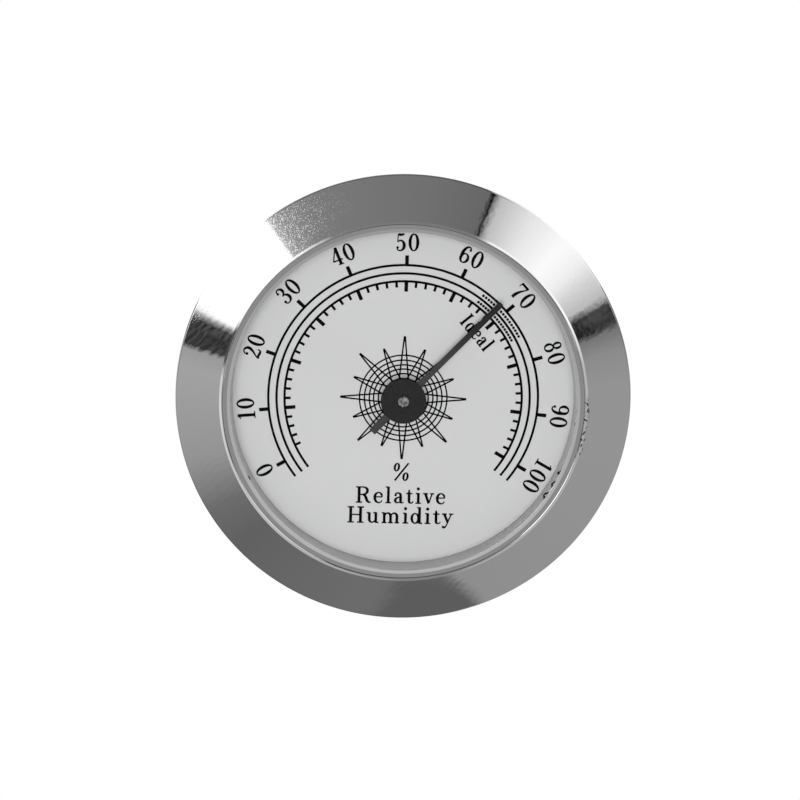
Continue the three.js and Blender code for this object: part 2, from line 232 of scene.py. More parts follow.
def surface(name, colour, metallic, sockets, detail):
    """A Principled material. sockets are plain values, and detail adds the nodes for its pattern."""
    made = bpy.data.materials.new(name)
    made.use_nodes = True
    graph = Graph(made.node_tree)
    shader = graph.node("BsdfPrincipled", {"Base Color": (*colour, 1), "Metallic": metallic, **sockets})
    output = graph.node("OutputMaterial")
    made.node_tree.links.new(shader.outputs[0], output.inputs[0])
    for key, value in detail(graph, graph.millimetres()).items():
        made.node_tree.links.new(value, shader.inputs[key])
    return made


# ---- Materials -----------------------------------------------------------------------------------

CHROME_TONE = 0.66
WALL_TONE = 0.47
DIAL_TONE = 0.72
# The tone of the dark specks painted on the chrome as a reflection of the numerals.
PAINTED_REFLECTION_TONE = 0.03


def chrome_detail(graph, place):
    """Plating: slow waves, buffing marks and pinpoint ripple, fine pits at the upper left, and dark specks
    painted into the colour beside the lens rim on the right: a painted reflection of the numerals that the
    lip mirrors there."""

    def towards(direction, start, end, low=0.0):
        """Grows to 1 with the distance in a direction."""
        return graph.remap(graph.dot(place, direction), start, end, low)

    waviness = graph.noise(place, 0.22, 1.0)
    drift = graph.product(graph.noise(place, 0.3, 1.0), 14.0)
    waves = graph.maths("SINE", graph.maths("ADD", graph.dot(place, (-6.2, 0, 5.6)), drift))
    waves = graph.product(waves, towards((-1, 0, 0), 8.0, 19.0, 0.15))
    ripple = graph.product(graph.noise(place, 2.0, 0.5), towards((0.77, 0, 0.64), 8.0, 19.0, 0.2))
    pits = graph.remap(graph.noise(place, 7.0, 2.0, 0.6), 0.56, 0.72)
    pits = graph.product(pits, towards((-0.5, 0, 0.87), 18.0, 22.0))
    # Painted reflection: dark specks in the chrome's colour on the lip's right, beside the lens rim, where it
    # mirrors the numerals.
    radius = graph.length(graph.stretched(place, (1, 0, 1)))
    beside_rim = graph.remap(radius, 20.15, 20.45, 1.0, 0.0)
    bearing = graph.maths("DIVIDE", graph.dot(place, (0.9925, 0, -0.122)), radius)
    beside_rim = graph.product(beside_rim, graph.remap(bearing, 0.983, 0.99))
    corner = graph.product(towards((0, -1, 0), 1.2, 1.6), beside_rim)
    painted_numeral_reflection = graph.product(graph.remap(graph.noise(place, 3.2, 1.0), 0.56, 0.61), corner)
    smear = graph.noise(place, 0.5, 3.0, 0.6)
    normal = graph.bump(waves, 0.0004, graph.bump(waviness, 0.006))
    normal = graph.bump(ripple, 0.0016, normal)
    return {
        "Base Color": graph.mix(painted_numeral_reflection, (*(CHROME_TONE,) * 3, 1), (*(PAINTED_REFLECTION_TONE,) * 3, 1)),
        "Normal": graph.bump(pits, 0.004, normal),
        "Roughness": graph.remap(smear, 0.35, 0.7, 0.004, 0.014),
    }


def bezel_detail(graph, place):
    """The same plating on a narrow ring, where turning marks show more than ripple."""
    smear = graph.noise(place, 0.8, 2.0)
    return {
        "Normal": graph.bump(graph.rings(place, 0.11), 0.0003),
        "Roughness": graph.remap(smear, 0.35, 0.7, 0.03, 0.06),
    }


def wall_detail(graph, place):
    """Drawn strip: fine lines along the axis and a little haze."""
    lines = graph.noise(graph.stretched(place, (9, 0.5, 9)), 1.0)
    return {
        "Normal": graph.bump(lines, 0.0008),
        "Roughness": graph.remap(lines, 0.3, 0.7, 0.02, 0.05),
    }


def dial_detail(graph, place):
    """Satin lacquer over metal: very fine grain, slow tone drift and sparse dust specks."""
    grain = graph.noise(place, 14.0, 2.0, 0.6)
    drift = graph.remap(graph.noise(place, 0.08, 1.0), 0.3, 0.7, 0.985, 1.01)
    speck = graph.node("TexVoronoi", {"Vector": place, "Scale": 0.9}, feature="F1").outputs["Distance"]
    level = graph.maths("ADD", graph.remap(grain, 0.3, 0.7, -0.012, 0.012), drift)
    dust = graph.remap(speck, 0.035, 0.06, 0.9, 1.0, "SMOOTHSTEP")
    return {
        "Base Color": graph.grey(graph.product(graph.product(level, dust), DIAL_TONE)),
        "Normal": graph.bump(grain, 0.0012),
        "Roughness": graph.remap(grain, 0.3, 0.7, 0.4, 0.5),
    }


def ink_detail(graph, place):
    """Pad-printed ink: slightly uneven, with a soft orange peel."""
    peel = graph.noise(place, 9.0, 2.0)
    return {
        "Base Color": graph.grey(graph.remap(peel, 0.3, 0.7, 0.001, 0.004)),
        "Normal": graph.bump(peel, 0.001),
        "Roughness": graph.remap(peel, 0.3, 0.7, 0.5, 0.62),
    }


def paint_detail(graph, place, tone, depth):
    """Matte paint with pin-sized grain. tone is a function from the grain to the paint's tone."""
    grain = graph.noise(place, 11.0, 3.0, 0.7)
    return {
        "Base Color": graph.grey(tone(grain)),
        "Normal": graph.bump(grain, depth),
        "Roughness": graph.remap(grain, 0.3, 0.7, 0.52, 0.7),
    }


def hub_detail(graph, place):
    return paint_detail(graph, place, lambda grain: graph.remap(grain, 0.4, 0.64, 0.01, 0.05), 0.006)


def needle_detail(graph, place):
    """Greyer beside the hub than at the tip."""
    distance = graph.length(graph.stretched(place, (1, 0, 1)))
    fade = graph.remap(distance, 5.5, 12.5, 0.062, 0.026, "SMOOTHSTEP")

    def tone(grain):
        return graph.product(fade, graph.remap(grain, 0.4, 0.64, 0.8, 1.25))

    return paint_detail(graph, place, tone, 0.002)


def stained(graph, stain, start, end, colour, dulling):
    """The metal's colour, duller where the stain is strong."""
    dull = tuple(dulling * c for c in colour)
    return graph.mix(graph.remap(stain, start, end), (*colour, 1), (*dull, 1))


def turned_detail(colour, pitch, depth, low, high):
    """Bare turned metal: tool marks around the axis, a faint stain and small roughness changes."""

    def detail(graph, place):
        stain = graph.noise(place, 0.35, 3.0, 0.6)
        return {
            "Base Color": stained(graph, stain, 0.45, 0.75, colour, 0.82),
            "Normal": graph.bump(graph.rings(place, pitch), depth),
            "Roughness": graph.remap(stain, 0.3, 0.7, low, high),
        }

    return detail


def rolled_detail(colour, low, high):
    """Sheet or strip: streaks along x, with patches of duller tone."""

    def detail(graph, place):
        lines = graph.noise(graph.stretched(place, (0.6, 9, 9)), 1.0, 3.0, 0.6)
        return {
            "Base Color": stained(graph, graph.noise(place, 0.4, 2.0), 0.4, 0.7, colour, 0.75),
            "Normal": graph.bump(lines, 0.0015),
            "Roughness": graph.remap(lines, 0.3, 0.7, low, high),
        }

    return detail


def arbor_detail(graph, place):
    """Cut steel bar: a mottled end with fine turning marks."""
    mottle = graph.noise(place, 2.6, 3.0, 0.65)
    return {
        "Base Color": graph.grey(graph.remap(mottle, 0.4, 0.6, 0.16, 0.86)),
        "Normal": graph.bump(graph.rings(place, 0.12), 0.003),
        "Roughness": graph.remap(mottle, 0.3, 0.7, 0.3, 0.42),
    }


def glass_detail(graph, place):
    """Clear cover with an almost invisible waviness from moulding."""
    return {"Normal": graph.bump(graph.noise(place, 0.12, 1.0), 0.0006)}


def metal(name, colour, detail):
    return surface(name, colour, 1.0, {}, detail)


def coating(name, tone, gloss, detail):
    return surface(name, (tone,) * 3, 0.0, {"Specular IOR Level": gloss}, detail)


STEEL = (0.55, 0.56, 0.57)
BRASS = (0.72, 0.56, 0.28)
ZINC = (0.60, 0.61, 0.60)
BRONZE = (0.42, 0.33, 0.20)
BRIGHT = (0.5, 0.5, 0.5)
CLEAR = {"Transmission Weight": 1.0, "IOR": 1.49, "Roughness": 0.0}

CHROME = metal("chrome", (CHROME_TONE,) * 3, chrome_detail)
BEZEL = metal("chrome_bezel", (CHROME_TONE,) * 3, bezel_detail)
WALL = metal("chrome_wall", (WALL_TONE,) * 3, wall_detail)
GLASS = surface("lens_glass", (0.985, 0.99, 0.99), 0.0, CLEAR, glass_detail)
DIAL = coating("dial_satin", DIAL_TONE, 0.35, dial_detail)
INK = coating("dial_ink", 0.003, 0.02, ink_detail)
HUB_PAINT = coating("hub_paint", 0.02, 0.05, hub_detail)
NEEDLE_PAINT = coating("needle_paint", 0.035, 0.05, needle_detail)
CASE_STEEL = metal("case_steel", STEEL, turned_detail(STEEL, 0.16, 0.0022, 0.26, 0.36))
BRASS_TURNED = metal("brass_turned", BRASS, turned_detail(BRASS, 0.14, 0.0015, 0.22, 0.34))
BRASS_SHEET = metal("brass_sheet", BRASS, rolled_detail(BRASS, 0.28, 0.4))
ZINC_SHEET = metal("zinc_plate", ZINC, rolled_detail(ZINC, 0.26, 0.4))
COIL_BRONZE = metal("coil_bronze", BRONZE, rolled_detail(BRONZE, 0.4, 0.55))
ARBOR_STEEL = metal("arbor_steel", BRIGHT, arbor_detail)


# ---- Mesh building -------------------------------------------------------------------------------


class Solid:
    """A closed body collected face by face, with a normal for every corner of every face."""

    def __init__(self):
        self.points = []
        self.lookup = {}
        self.faces = []
        self.normals = []

    def index(self, point):
        key = tuple(round(c, 5) for c in point)
        if key not in self.lookup:
            self.lookup[key] = len(self.points)
            self.points.append(key)
        return self.lookup[key]

    def face(self, points, normals):
        corners = {}
        for point, normal in zip(points, normals):
            corners.setdefault(self.index(point), normal)
        if len(corners) < 3:
            return
        self.faces.append(list(corners))
        self.normals.extend(corners.values())

    def build(self, name, material):
        mesh = bpy.data.meshes.new(name)
        mesh.from_pydata([[c * MM for c in p] for p in self.points], [], self.faces)
        mesh.shade_smooth()
        mesh.normals_split_custom_set([Vector(n).normalized() for n in self.normals])
        mesh.materials.append(material)
        made = bpy.data.objects.new(name, mesh)
        bpy.context.scene.collection.objects.link(made)
        return made


def spans(profile):
    """The lines and fillet arcs of a profile, each as (start, its normal, end, its normal)."""
    points = [(*p, 0.0)[:3] for p in profile]
    on_axis = points[0][0] == 0
    corners = []
    for i, (r, y, fillet) in enumerate(points):
        here = np.array((r, y))
        before = np.array(points[i - 1][:2])
        after = np.array(points[(i + 1) % len(points)][:2])
        if fillet == 0 or (on_axis and i in (0, len(points) - 1)):
            corners.append([here])
            continue
        to_before = (before - here) / np.linalg.norm(before - here)
        to_after = (after - here) / np.linalg.norm(after - here)
        half = math.acos(np.clip(to_before @ to_after, -1, 1)) / 2
        reach = fillet / math.tan(half)
        middle = (to_before + to_after) / np.linalg.norm(to_before + to_after)
        centre = here + middle * fillet / math.sin(half)
        first = here + to_before * reach - centre
        last = here + to_after * reach - centre
        sweep = math.pi - 2 * half
        arc = []
        for k in range(FILLET_STEPS + 1):
            share = k / FILLET_STEPS
            weights = np.array((math.sin((1 - share) * sweep), math.sin(share * sweep))) / math.sin(sweep)
            arc.append(centre + weights[0] * first + weights[1] * last)
        corners.append(arc)
    found = []
    count = len(corners) - 1 if on_axis else len(corners)
    for i in range(len(corners)):
        arc = corners[i]
        before = corners[i - 1][-1]
        after = corners[(i + 1) % len(corners)][0]
        if len(arc) > 1:
            start = line_normal(before, arc[0])
            end = line_normal(arc[-1], after)
            for k in range(FILLET_STEPS):
                a, b = k / FILLET_STEPS, (k + 1) / FILLET_STEPS
                found.append((arc[k], start * (1 - a) + end * a, arc[k + 1], start * (1 - b) + end * b))
        if i < count:
            normal = line_normal(arc[-1], after)
            found.append((arc[-1], normal, after, normal))
    return found


def line_normal(start, end):
    """The outward normal of a profile or outline edge."""
    along = (end - start) / max(np.linalg.norm(end - start), 1e-9)
    return np.array((along[1], -along[0]))


def turn(solid, profile_spans, steps, x=0.0):
    """Adds the surface that the spans sweep about the axis parallel to y at x."""
    circle = [(math.cos(2 * math.pi * j / steps), math.sin(2 * math.pi * j / steps)) for j in range(steps)]
    for start, start_normal, end, end_normal in profile_spans:
        first, last = (start, start_normal), (end, end_normal)
        for j in range(steps):
            here, there = circle[j], circle[(j + 1) % steps]
            corners, normals = [], []
            for (c, s), (point, normal) in ((here, first), (here, last), (there, last), (there, first)):
                corners.append((x + point[0] * c, point[1], point[0] * s))
                normals.append((normal[0] * c, normal[1], normal[0] * s))
            solid.face(corners, normals)


def turned(name, profile, material, steps=RING_STEPS, x=0.0):
    """A body of revolution. profile lists [radius, y] or [radius, y, fillet] from the front outwards."""
    solid = Solid()
    turn(solid, spans(profile), steps, x)
    return solid.build(name, material)


def circle_outline(radius, x=0.0, z=0.0, steps=SMALL_STEPS, hole=False):
    turn_way = -1 if hole else 1
    angles = [turn_way * 2 * math.pi * i / steps for i in range(steps)]
    return [np.array((x + radius * math.cos(a), z + radius * math.sin(a))) for a in angles]


def arc_points(radius, start, end, steps, x=0.0, z=0.0):
    """Points on an arc between two angles in degrees, counted anticlockwise from 3 o'clock."""
    angles = [math.radians(start + (end - start) * i / steps) for i in range(steps + 1)]
    return [np.array((x + radius * math.cos(a), z + radius * math.sin(a))) for a in angles]


def rotated(loop, angle):
    """An outline turned clockwise by an angle in degrees."""
    c, s = math.cos(math.radians(angle)), math.sin(math.radians(angle))
    return [np.array((p[0] * c + p[1] * s, p[1] * c - p[0] * s)) for p in loop]


SHARP = math.cos(math.radians(35))  # outline corners sharper than this keep two normals


def outline_normals(loop):
    """For each corner of an outline: the shaded normals before and after it, and its mitre."""
    found = []
    for i in range(len(loop)):
        before = line_normal(loop[i - 1], loop[i])
        after = line_normal(loop[i], loop[(i + 1) % len(loop)])
        together = float(before @ after)
        mitre = (before + after) / (1 + together)
        smooth = (before + after) / np.linalg.norm(before + after)
        found.append((smooth, smooth, mitre) if together > SHARP else (before, after, mitre))
    return found


def edge_wall(solid, loop, front, back, edge):
    """Adds the rounded edge of a plate along an outline, and gives the inset loop of its two faces."""
    corners = outline_normals(loop)
    quarter = [math.radians(90 * k / FILLET_STEPS) for k in range(FILLET_STEPS + 1)]
    levels = [(edge * (1 - math.sin(a)), front + edge * (1 - math.cos(a)), a) for a in quarter]
    levels += [(inset, front + back - y, math.pi - a) for inset, y, a in reversed(levels)]

    def corner(i, which, level):
        inset, y, angle = levels[level]
        flat = loop[i] - corners[i][2] * inset
        out = corners[i][which] * math.sin(angle)
        return (flat[0], y, flat[1]), (out[0], -math.cos(angle), out[1])

    for i in range(len(loop)):
        j = (i + 1) % len(loop)
        for k in range(len(levels) - 1):
            found = [corner(i, 1, k), corner(i, 1, k + 1), corner(j, 0, k + 1), corner(j, 0, k)]
            solid.face([p for p, _ in found], [n for _, n in found])
    return [loop[i] - corners[i][2] * edge for i in range(len(loop))]


def flat_face(solid, loops, y, facing):
    """Adds a flat face between an outline and its holes. facing is -1 for the front and 1 for the back."""
    points = [p for loop in loops for p in loop]
    found = tessellate_polygon([[Vector((p[0], p[1], 0)) for p in loop] for loop in loops])
    for a, b, c in found:
        first, second, third = points[a], points[b], points[c]
        edge_a, edge_b = second - first, third - first
        area = edge_a[0] * edge_b[1] - edge_a[1] * edge_b[0]
        order = (first, second, third) if area * -facing > 0 else (first, third, second)
        solid.face([(p[0], y, p[1]) for p in order], [(0, facing, 0)] * 3)


def plate(name, outline, holes, front, back, edge, material):
    """A flat blank with rounded edges. Holes run clockwise."""
    solid = Solid()
    inset = [edge_wall(solid, loop, front, back, edge) for loop in (outline, *holes)]
    flat_face(solid, inset, front, -1)
    flat_face(solid, inset, back, 1)
    return solid.build(name, material)


def slot_cut(body, width, depth, face, x=0.0, angle=0.0):
    """Cuts a straight slot right across a turned body's flat face at y = face, clockwise by an angle."""
    reach, half = 5.0, width / 2  # the slot runs past the edge of any screw head
    corners = [np.array(p) for p in ((-reach, -half), (reach, -half), (reach, half), (-reach, half))]
    outline = [p + np.array((x, 0)) for p in rotated(corners, angle)]
    cutter = plate("slot_cutter", outline, [], face - depth, face + depth, 0.0, body.data.materials[0])
    cut = body.modifiers.new("slot", "BOOLEAN")
    cut.object = cutter
    cut.operation = "DIFFERENCE"
    cut.solver = "EXACT"
    shown = body.evaluated_get(bpy.context.evaluated_depsgraph_get())
    mesh = bpy.data.meshes.new_from_object(shown)
    body.modifiers.clear()
    body.data = mesh
    mesh.shade_smooth()
    mesh.set_sharp_from_angle(angle=math.radians(30))
    bpy.data.objects.remove(cutter)
    return body


def tube(name, node, fillets, material, steps=SMALL_STEPS):
    """A ring that fills its node's box. Its fillets start at the inner front edge and run outwards."""
    inner, outer = radii(node)
    front, back = depths(node)
    corners = ((inner, front), (outer, front), (outer, back), (inner, back))
    return turned(name, [(*corner, fillet) for corner, fillet in zip(corners, fillets)], material, steps)


def settle(piece, body, slot, *nodes):
    """The piece rides on a body and stands for its CAD nodes, which it hides. slot is not used."""
    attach(piece, body)
    if nodes:
        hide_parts(*nodes)
    return piece


SIDES = {-1: "left", 1: "right"}


# ---- Case ----------------------------------------------------------------------------------------


def trim_ring():
    """Chromed flange: a rounded lip, a long cone, a rolled outer edge and the sleeve behind."""
    profile = [
        [BORE_RADIUS, LIP_FRONT + 0.07, 0.02],
        [BORE_RADIUS + 0.06, LIP_FRONT, 0.08],
        [BORE_RADIUS + 0.34, LIP_FRONT + 0.065, 0.3],
        [OUTER_RADIUS - 0.12, CONE_FOOT + 0.02, 0.12],
        [OUTER_RADIUS, RIM_EDGE, 0.1],
        [OUTER_RADIUS, 0, 0.15],
        [BARREL_RADIUS, 0],
        [BARREL_RADIUS, SLEEVE_BACK, 0.25],
        [BORE_RADIUS, SLEEVE_BACK, 0.15],
    ]
    return turned("trim_ring_chrome", profile, CHROME)


def lens_rim():
    """Narrow bezel: a light land beside the window and a slope down to the gap."""
    land = WINDOW_RADIUS + 0.36
    outer = BORE_RADIUS - 0.02
    profile = [
        [WINDOW_RADIUS, RIM_FRONT + 0.05, 0.02],
        [land, RIM_FRONT, 0.02],
        [outer, RIM_FRONT + 0.062, 0.02],
        [outer, SKIRT_BACK, 0.05],
        [SKIRT_INNER, SKIRT_BACK, 0.05],
        [SKIRT_INNER, LENS_SEAT],
        [WINDOW_RADIUS, LENS_SEAT, 0.03],
    ]
    return turned("lens_rim_chrome", profile, BEZEL)


def lens():
    profile = [
        [0, LENS_FRONT],
        [CASE_RADIUS, LENS_FRONT, 0.12],
        [CASE_RADIUS, LENS_BACK, 0.12],
        [0, LENS_BACK],
    ]
    made = turned("lens_glass", profile, GLASS)
    made.visible_shadow = False
    made.visible_diffuse = False
    return made


def reflector_ring():
    """Polished spacer, slightly wider at the lens than at the dial."""
    front, back = depths("reflector_ring")
    inner, outer = radii("reflector_ring")
    profile = [
        [WINDOW_RADIUS + 0.12, front, 0.03],
        [outer, front, 0.04],
        [outer, back, 0.04],
        [inner, back],
    ]
    return turned("reflector_ring_chrome", profile, WALL)


def dial_plate():
    return tube("dial_plate_satin", "dial_plate", (0.06, 0.05, 0.05, 0.03), DIAL, RING_STEPS)


def vent_outline(middle):
    """One curved slot with round ends, centred on an angle from 3 o'clock, clockwise as a hole is."""
    low, high, half = middle - VENT_HALF_ANGLE, middle + VENT_HALF_ANGLE, VENT_WIDTH / 2
    ends = {}
    for angle in (low, high):
        away = math.radians(angle)
        ends[angle] = (VENT_RADIUS * math.cos(away), VENT_RADIUS * math.sin(away))
    loop = arc_points(VENT_RADIUS + half, low, high, 24)
    loop += arc_points(half, high, high + 180, 16, *ends[high])[1:]
    loop += arc_points(VENT_RADIUS - half, high, low, 24)[1:]
    loop += arc_points(half, low + 180, low + 360, 16, *ends[low])[1:-1]
    return loop[::-1]


def case_cup():
    """Drawn steel cup: a stepped mouth, a rounded corner, a vented floor and the recess of the screw."""
    inner = CASE_RADIUS - 0.5
    recess = SCREW_HEAD_RADIUS + 0.3
    bore = ADJUSTER_RADIUS + SLIP
    boss = bore + 1.9
    corner = 0.7
    rim = 0.2
    profile = [
        [inner, CUP_FRONT, 0.05],
        [CASE_RADIUS, CUP_FRONT, 0.05],
        [CASE_RADIUS, SKIRT_BACK + SLIP],
        [SKIRT_RADIUS, SKIRT_BACK + SLIP, 0.05],
        [SKIRT_RADIUS, CASE_BACK, corner],
        [recess, CASE_BACK, rim],
        [recess, RECESS_FLOOR],
        [bore, RECESS_FLOOR, 0.05],
        [bore, CUP_BOSS_FRONT, 0.05],
        [boss, CUP_BOSS_FRONT, 0.05],
        [boss, FLOOR_FRONT],
        [inner, FLOOR_FRONT, 0.2],
    ]
    solid = Solid()
    floors = {CASE_BACK: [], FLOOR_FRONT: []}
    walls = []
    for span in spans(profile):
        start, end = span[0], span[2]
        level = next((y for y in floors if max(abs(start[1] - y), abs(end[1] - y)) < 1e-9), None)
        if level is not None and abs(start[0] - end[0]) > 1:
            floors[level] = [start[0], end[0]]
        else:
            walls.append(span)
    turn(solid, walls, RING_STEPS)
    holes = [vent_outline((k + 0.5) * 360 / VENT_COUNT) for k in range(VENT_COUNT)]
    for side in (-1, 1):
        holes.append(circle_outline(RIVET_RADIUS + RUNNING_GAP, side * PILLAR_X, 0, 48, hole=True))
    inset = [edge_wall(solid, loop, FLOOR_FRONT, CASE_BACK, 0.08) for loop in holes]
    for level, facing in ((FLOOR_FRONT, -1), (CASE_BACK, 1)):
        outer, middle = max(floors[level]), min(floors[level])
        rings = [circle_outline(outer, steps=RING_STEPS), circle_outline(middle, steps=RING_STEPS)[::-1]]
        flat_face(solid, [*rings, *inset], level, facing)
    return solid.build("case_cup_steel", CASE_STEEL)


def pillar(side):
    """Threaded post with a riveted tail, domed where the punch closed it."""
    x = side * PILLAR_X
    name = "pillar_" + SIDES[side]
    foot = FLOOR_FRONT - GAP
    bore, bottom = 0.65, PILLAR_FRONT + 3
    profile = [
        [0, bottom],
        [bore, bottom],
        [bore, PILLAR_FRONT, 0.05],
        [PILLAR_RADIUS, PILLAR_FRONT, 0.1],
        [PILLAR_RADIUS, foot],
        [RIVET_RADIUS, foot],
        [RIVET_RADIUS, PILLAR_BACK - 0.05, 0.14],
        [0, PILLAR_BACK],
    ]
    made = turned(name + "_brass", profile, BRASS_TURNED, SMALL_STEPS, x)
    return settle(made, "case", "brass", name)


def bridge():
    """Brass strip across the movement, wide at the bearing and narrow at its two posts."""
    half, end = 3.0, 2.0
    loop = arc_points(end, -90, 90, 20, PILLAR_X)
    loop += [np.array((half, half)), np.array((-half, half))]
    loop += arc_points(end, 90, 270, 20, -PILLAR_X)
    loop += [np.array((-half, -half)), np.array((half, -half))]
    holes = [circle_outline(BUSH_RADIUS + RUNNING_GAP, hole=True)]
    holes += [circle_outline(SCREW_SHANK_RADIUS + 0.1, side * PILLAR_X, 0, 32, hole=True) for side in SIDES]
    return plate("bridge_brass", loop, holes, *depths("bridge"), 0.06, BRASS_SHEET)


def bridge_screw(side):
    """Slotted cheese-head screw that holds the bridge on its post."""
    x = side * PILLAR_X
    name = "bridge_screw_" + SIDES[side]
    front, back = depths(name)
    head = radii(name, x)[1]
    profile = [
        [0, front],
        [head, front, 0.14],
        [head, BRIDGE_SEAT, 0.04],
        [SCREW_SHANK_RADIUS, BRIDGE_SEAT],
        [SCREW_SHANK_RADIUS, back, 0.15],
        [0, back],
    ]
    made = turned(name + "_plated", profile, ZINC_SHEET, SMALL_STEPS, x)
    slot_cut(made, 0.35, 0.25, front, x, side * 35)
    return settle(made, "case", "plated_steel", name)


def front_bush():
    front, back = depths("front_bush")
    bore, collar = radii("front_bush")
    profile = [
        [bore, front, 0.06],
        [collar, front, 0.06],
        [collar, BRIDGE_SEAT, 0.03],
        [BUSH_RADIUS, BRIDGE_SEAT],
        [BUSH_RADIUS, back, 0.06],
        [bore, back, 0.04],
    ]
    return turned("front_bush_brass", profile, BRASS_TURNED, SMALL_STEPS)


# ---- Regulator -----------------------------------------------------------------------------------


def calibration_screw():
    bore, bottom = PIVOT_RADIUS + RUNNING_GAP, NECK_BACK + 0.48
    profile = [
        [0, bottom],
        [bore, bottom],
        [bore, SCREW_FRONT, 0.04],
        [NECK_RADIUS, SCREW_FRONT, 0.06],
        [NECK_RADIUS, NECK_BACK],
        [ADJUSTER_RADIUS, NECK_BACK, 0.05],
        [ADJUSTER_RADIUS, ADJUSTER_HEAD_FRONT],
        [SCREW_HEAD_RADIUS, ADJUSTER_HEAD_FRONT, 0.05],
        [SCREW_HEAD_RADIUS, SCREW_BACK, 0.14],
        [0, SCREW_BACK],
    ]
    made = turned("calibration_screw_brass", profile, BRASS_TURNED, SMALL_STEPS)
    return slot_cut(made, ADJUSTER_SLOT, 0.35, SCREW_BACK)


def regulator_arm():
    """Steel finger from the screw's neck down to the stud."""
    half, disc = 1.1, 2.6
    lean = math.degrees(math.asin(half / disc))
    loop = arc_points(disc, lean - 90, 270 - lean, 48)
    loop += arc_points(half, 180, 360, 20, 0, -STUD_DISTANCE)
    hole = circle_outline(NECK_RADIUS + RUNNING_GAP, steps=64, hole=True)
    return plate("regulator_arm_plated", loop, [hole], *depths("regulator_arm"), 0.06, ZINC_SHEET)


def coil_stud():
    low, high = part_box("coil_stud")
    corners = ((low.x, low.z), (high.x, low.z), (high.x, high.z), (low.x, high.z))
    loop = [np.array(c) / MM for c in corners]
    return plate("coil_stud_brass", loop, [], low.y / MM, high.y / MM, 0.08, BRASS_SHEET)


def spring_washer():
    """Thin washer bent into three waves."""
    wave = 0.05
    front, back = depths("spring_washer")
    inner, outer = radii("spring_washer")
    profile = [[inner, front + wave, 0.03], [outer, front + wave, 0.03]]
    profile += [[outer, back - wave, 0.03], [inner, back - wave, 0.03]]
    made = turned("spring_washer_plated", profile, ZINC_SHEET, SMALL_STEPS)
    for vertex in made.data.vertices:
        vertex.co.y += wave * MM * math.cos(3 * math.atan2(vertex.co.x, vertex.co.z))
    return made


def coil_path():
    """The spiral's centre line as (angle in radians, radius), from the collet to the stud."""
    steps = 480
    inner = COLLET_RADIUS + COIL_STRIP
    for i in range(steps + 1):
        share = i / steps
        angle = -math.pi / 2 - (1 - share) * COIL_TURNS * 2 * math.pi
        yield angle, inner + (COIL_OUTER_RADIUS - inner) * share


def humidity_coil():
    """Flat spiral strip from the collet out to the stud."""
    half = COIL_STRIP / 2
    front, back = (0, -1, 0), (0, 1, 0)
    outward, inside, sections = [], [], []
    for angle, radius in coil_path():
        ray = np.array((math.cos(angle), math.sin(angle)))
        outward.append(Vector((ray[0], 0, ray[1])))
        inside.append((radius - half) * ray)
        near, far = inside[-1], (radius + half) * ray
        corners = ((near, COIL_FRONT), (far, COIL_FRONT), (far, COIL_BACK), (near, COIL_BACK))
        sections.append([(p[0], y, p[1]) for p, y in corners])
    solid = Solid()
    for i in range(len(sections) - 1):
        here, there = sections[i], sections[i + 1]
        near, far = outward[i], outward[i + 1]
        for k, (start, end) in enumerate(((front, front), (near, far), (back, back), (-near, -far))):
            n = (k + 1) % 4
            solid.face([here[k], here[n], there[n], there[k]], [start, start, end, end])
    for section, ray, way in ((sections[0][::-1], outward[0], 1), (sections[-1], outward[-1], -1)):
        solid.face(section, [(way * ray.z, 0, -way * ray.x)] * 4)
    made = solid.build("humidity_coil_strip", COIL_BRONZE)
    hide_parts("humidity_coil")
    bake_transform(made)
    # Weights that fall evenly along the strip, from 1 at the collet to 0 at the stud.
    lengths = np.cumsum([0.0] + [float(np.linalg.norm(b - a)) for a, b in zip(inside, inside[1:])])
    weights = np.zeros(len(solid.points), np.float32)
    for section, run in zip(sections, lengths / lengths[-1]):
        for point in section:
            weights[solid.index(point)] = 1 - run
    return made


# ---- Pointer -------------------------------------------------------------------------------------


def pointer():
    """The needle and its tail as one stamped blank."""
    eye = 1.9
    shoulder = 3.7  # where the root's taper ends
    root, needle, tail = 0.45, 0.31, 0.41  # half widths
    tail_end = 4.9
    tip, chamfer = POINTER_LENGTH, 0.12
    root_lean = math.degrees(math.asin(root / eye))
    tail_lean = math.degrees(math.asin(tail / eye))
    right = [(needle, shoulder), (needle, tip - chamfer), (needle - chamfer, tip)]
    loop = [np.array(p) for p in right + [(-x, z) for x, z in right[::-1]]]
    loop += arc_points(eye, 90 + root_lean, 270 - tail_lean, 24)
    loop += [np.array((-tail, -tail_end)), np.array((tail, -tail_end))]
    loop += arc_points(eye, -90 + tail_lean, 90 - root_lean, 24)
    eyelet = circle_outline(ARBOR_RADIUS + GAP, steps=48, hole=True)
    outline = rotated(loop, scale_angle(READING))
    return plate("pointer_needle", outline, [eyelet], *depths("pointer"), 0.03, NEEDLE_PAINT)


def hub_disc():
    return tube("hub_disc_painted", "hub_disc", (0.04, 0.07, 0.03, 0.03), HUB_PAINT)


def sleeve(node):
    """A short tube pressed on the arbor."""
    return tube(node + "_brass", node, (0.05, 0.08, 0.08, 0.05), BRASS_TURNED)


def arbor():
    front, back = depths("arbor")
    shoulder = 6.6
    profile = [
        [0, front],
        [ARBOR_RADIUS, front, 0.07],
        [ARBOR_RADIUS, shoulder, 0.05],
        [PIVOT_RADIUS, shoulder],
        [PIVOT_RADIUS, back, 0.12],
        [0, back],
    ]
    return turned("arbor_bright", profile, ARBOR_STEEL, SMALL_STEPS)


# ---- Print on the dial ---------------------------------------------------------------------------

INK_FRONT = DIAL_FRONT - 0.025
INK_BACK = DIAL_FRONT - 0.003


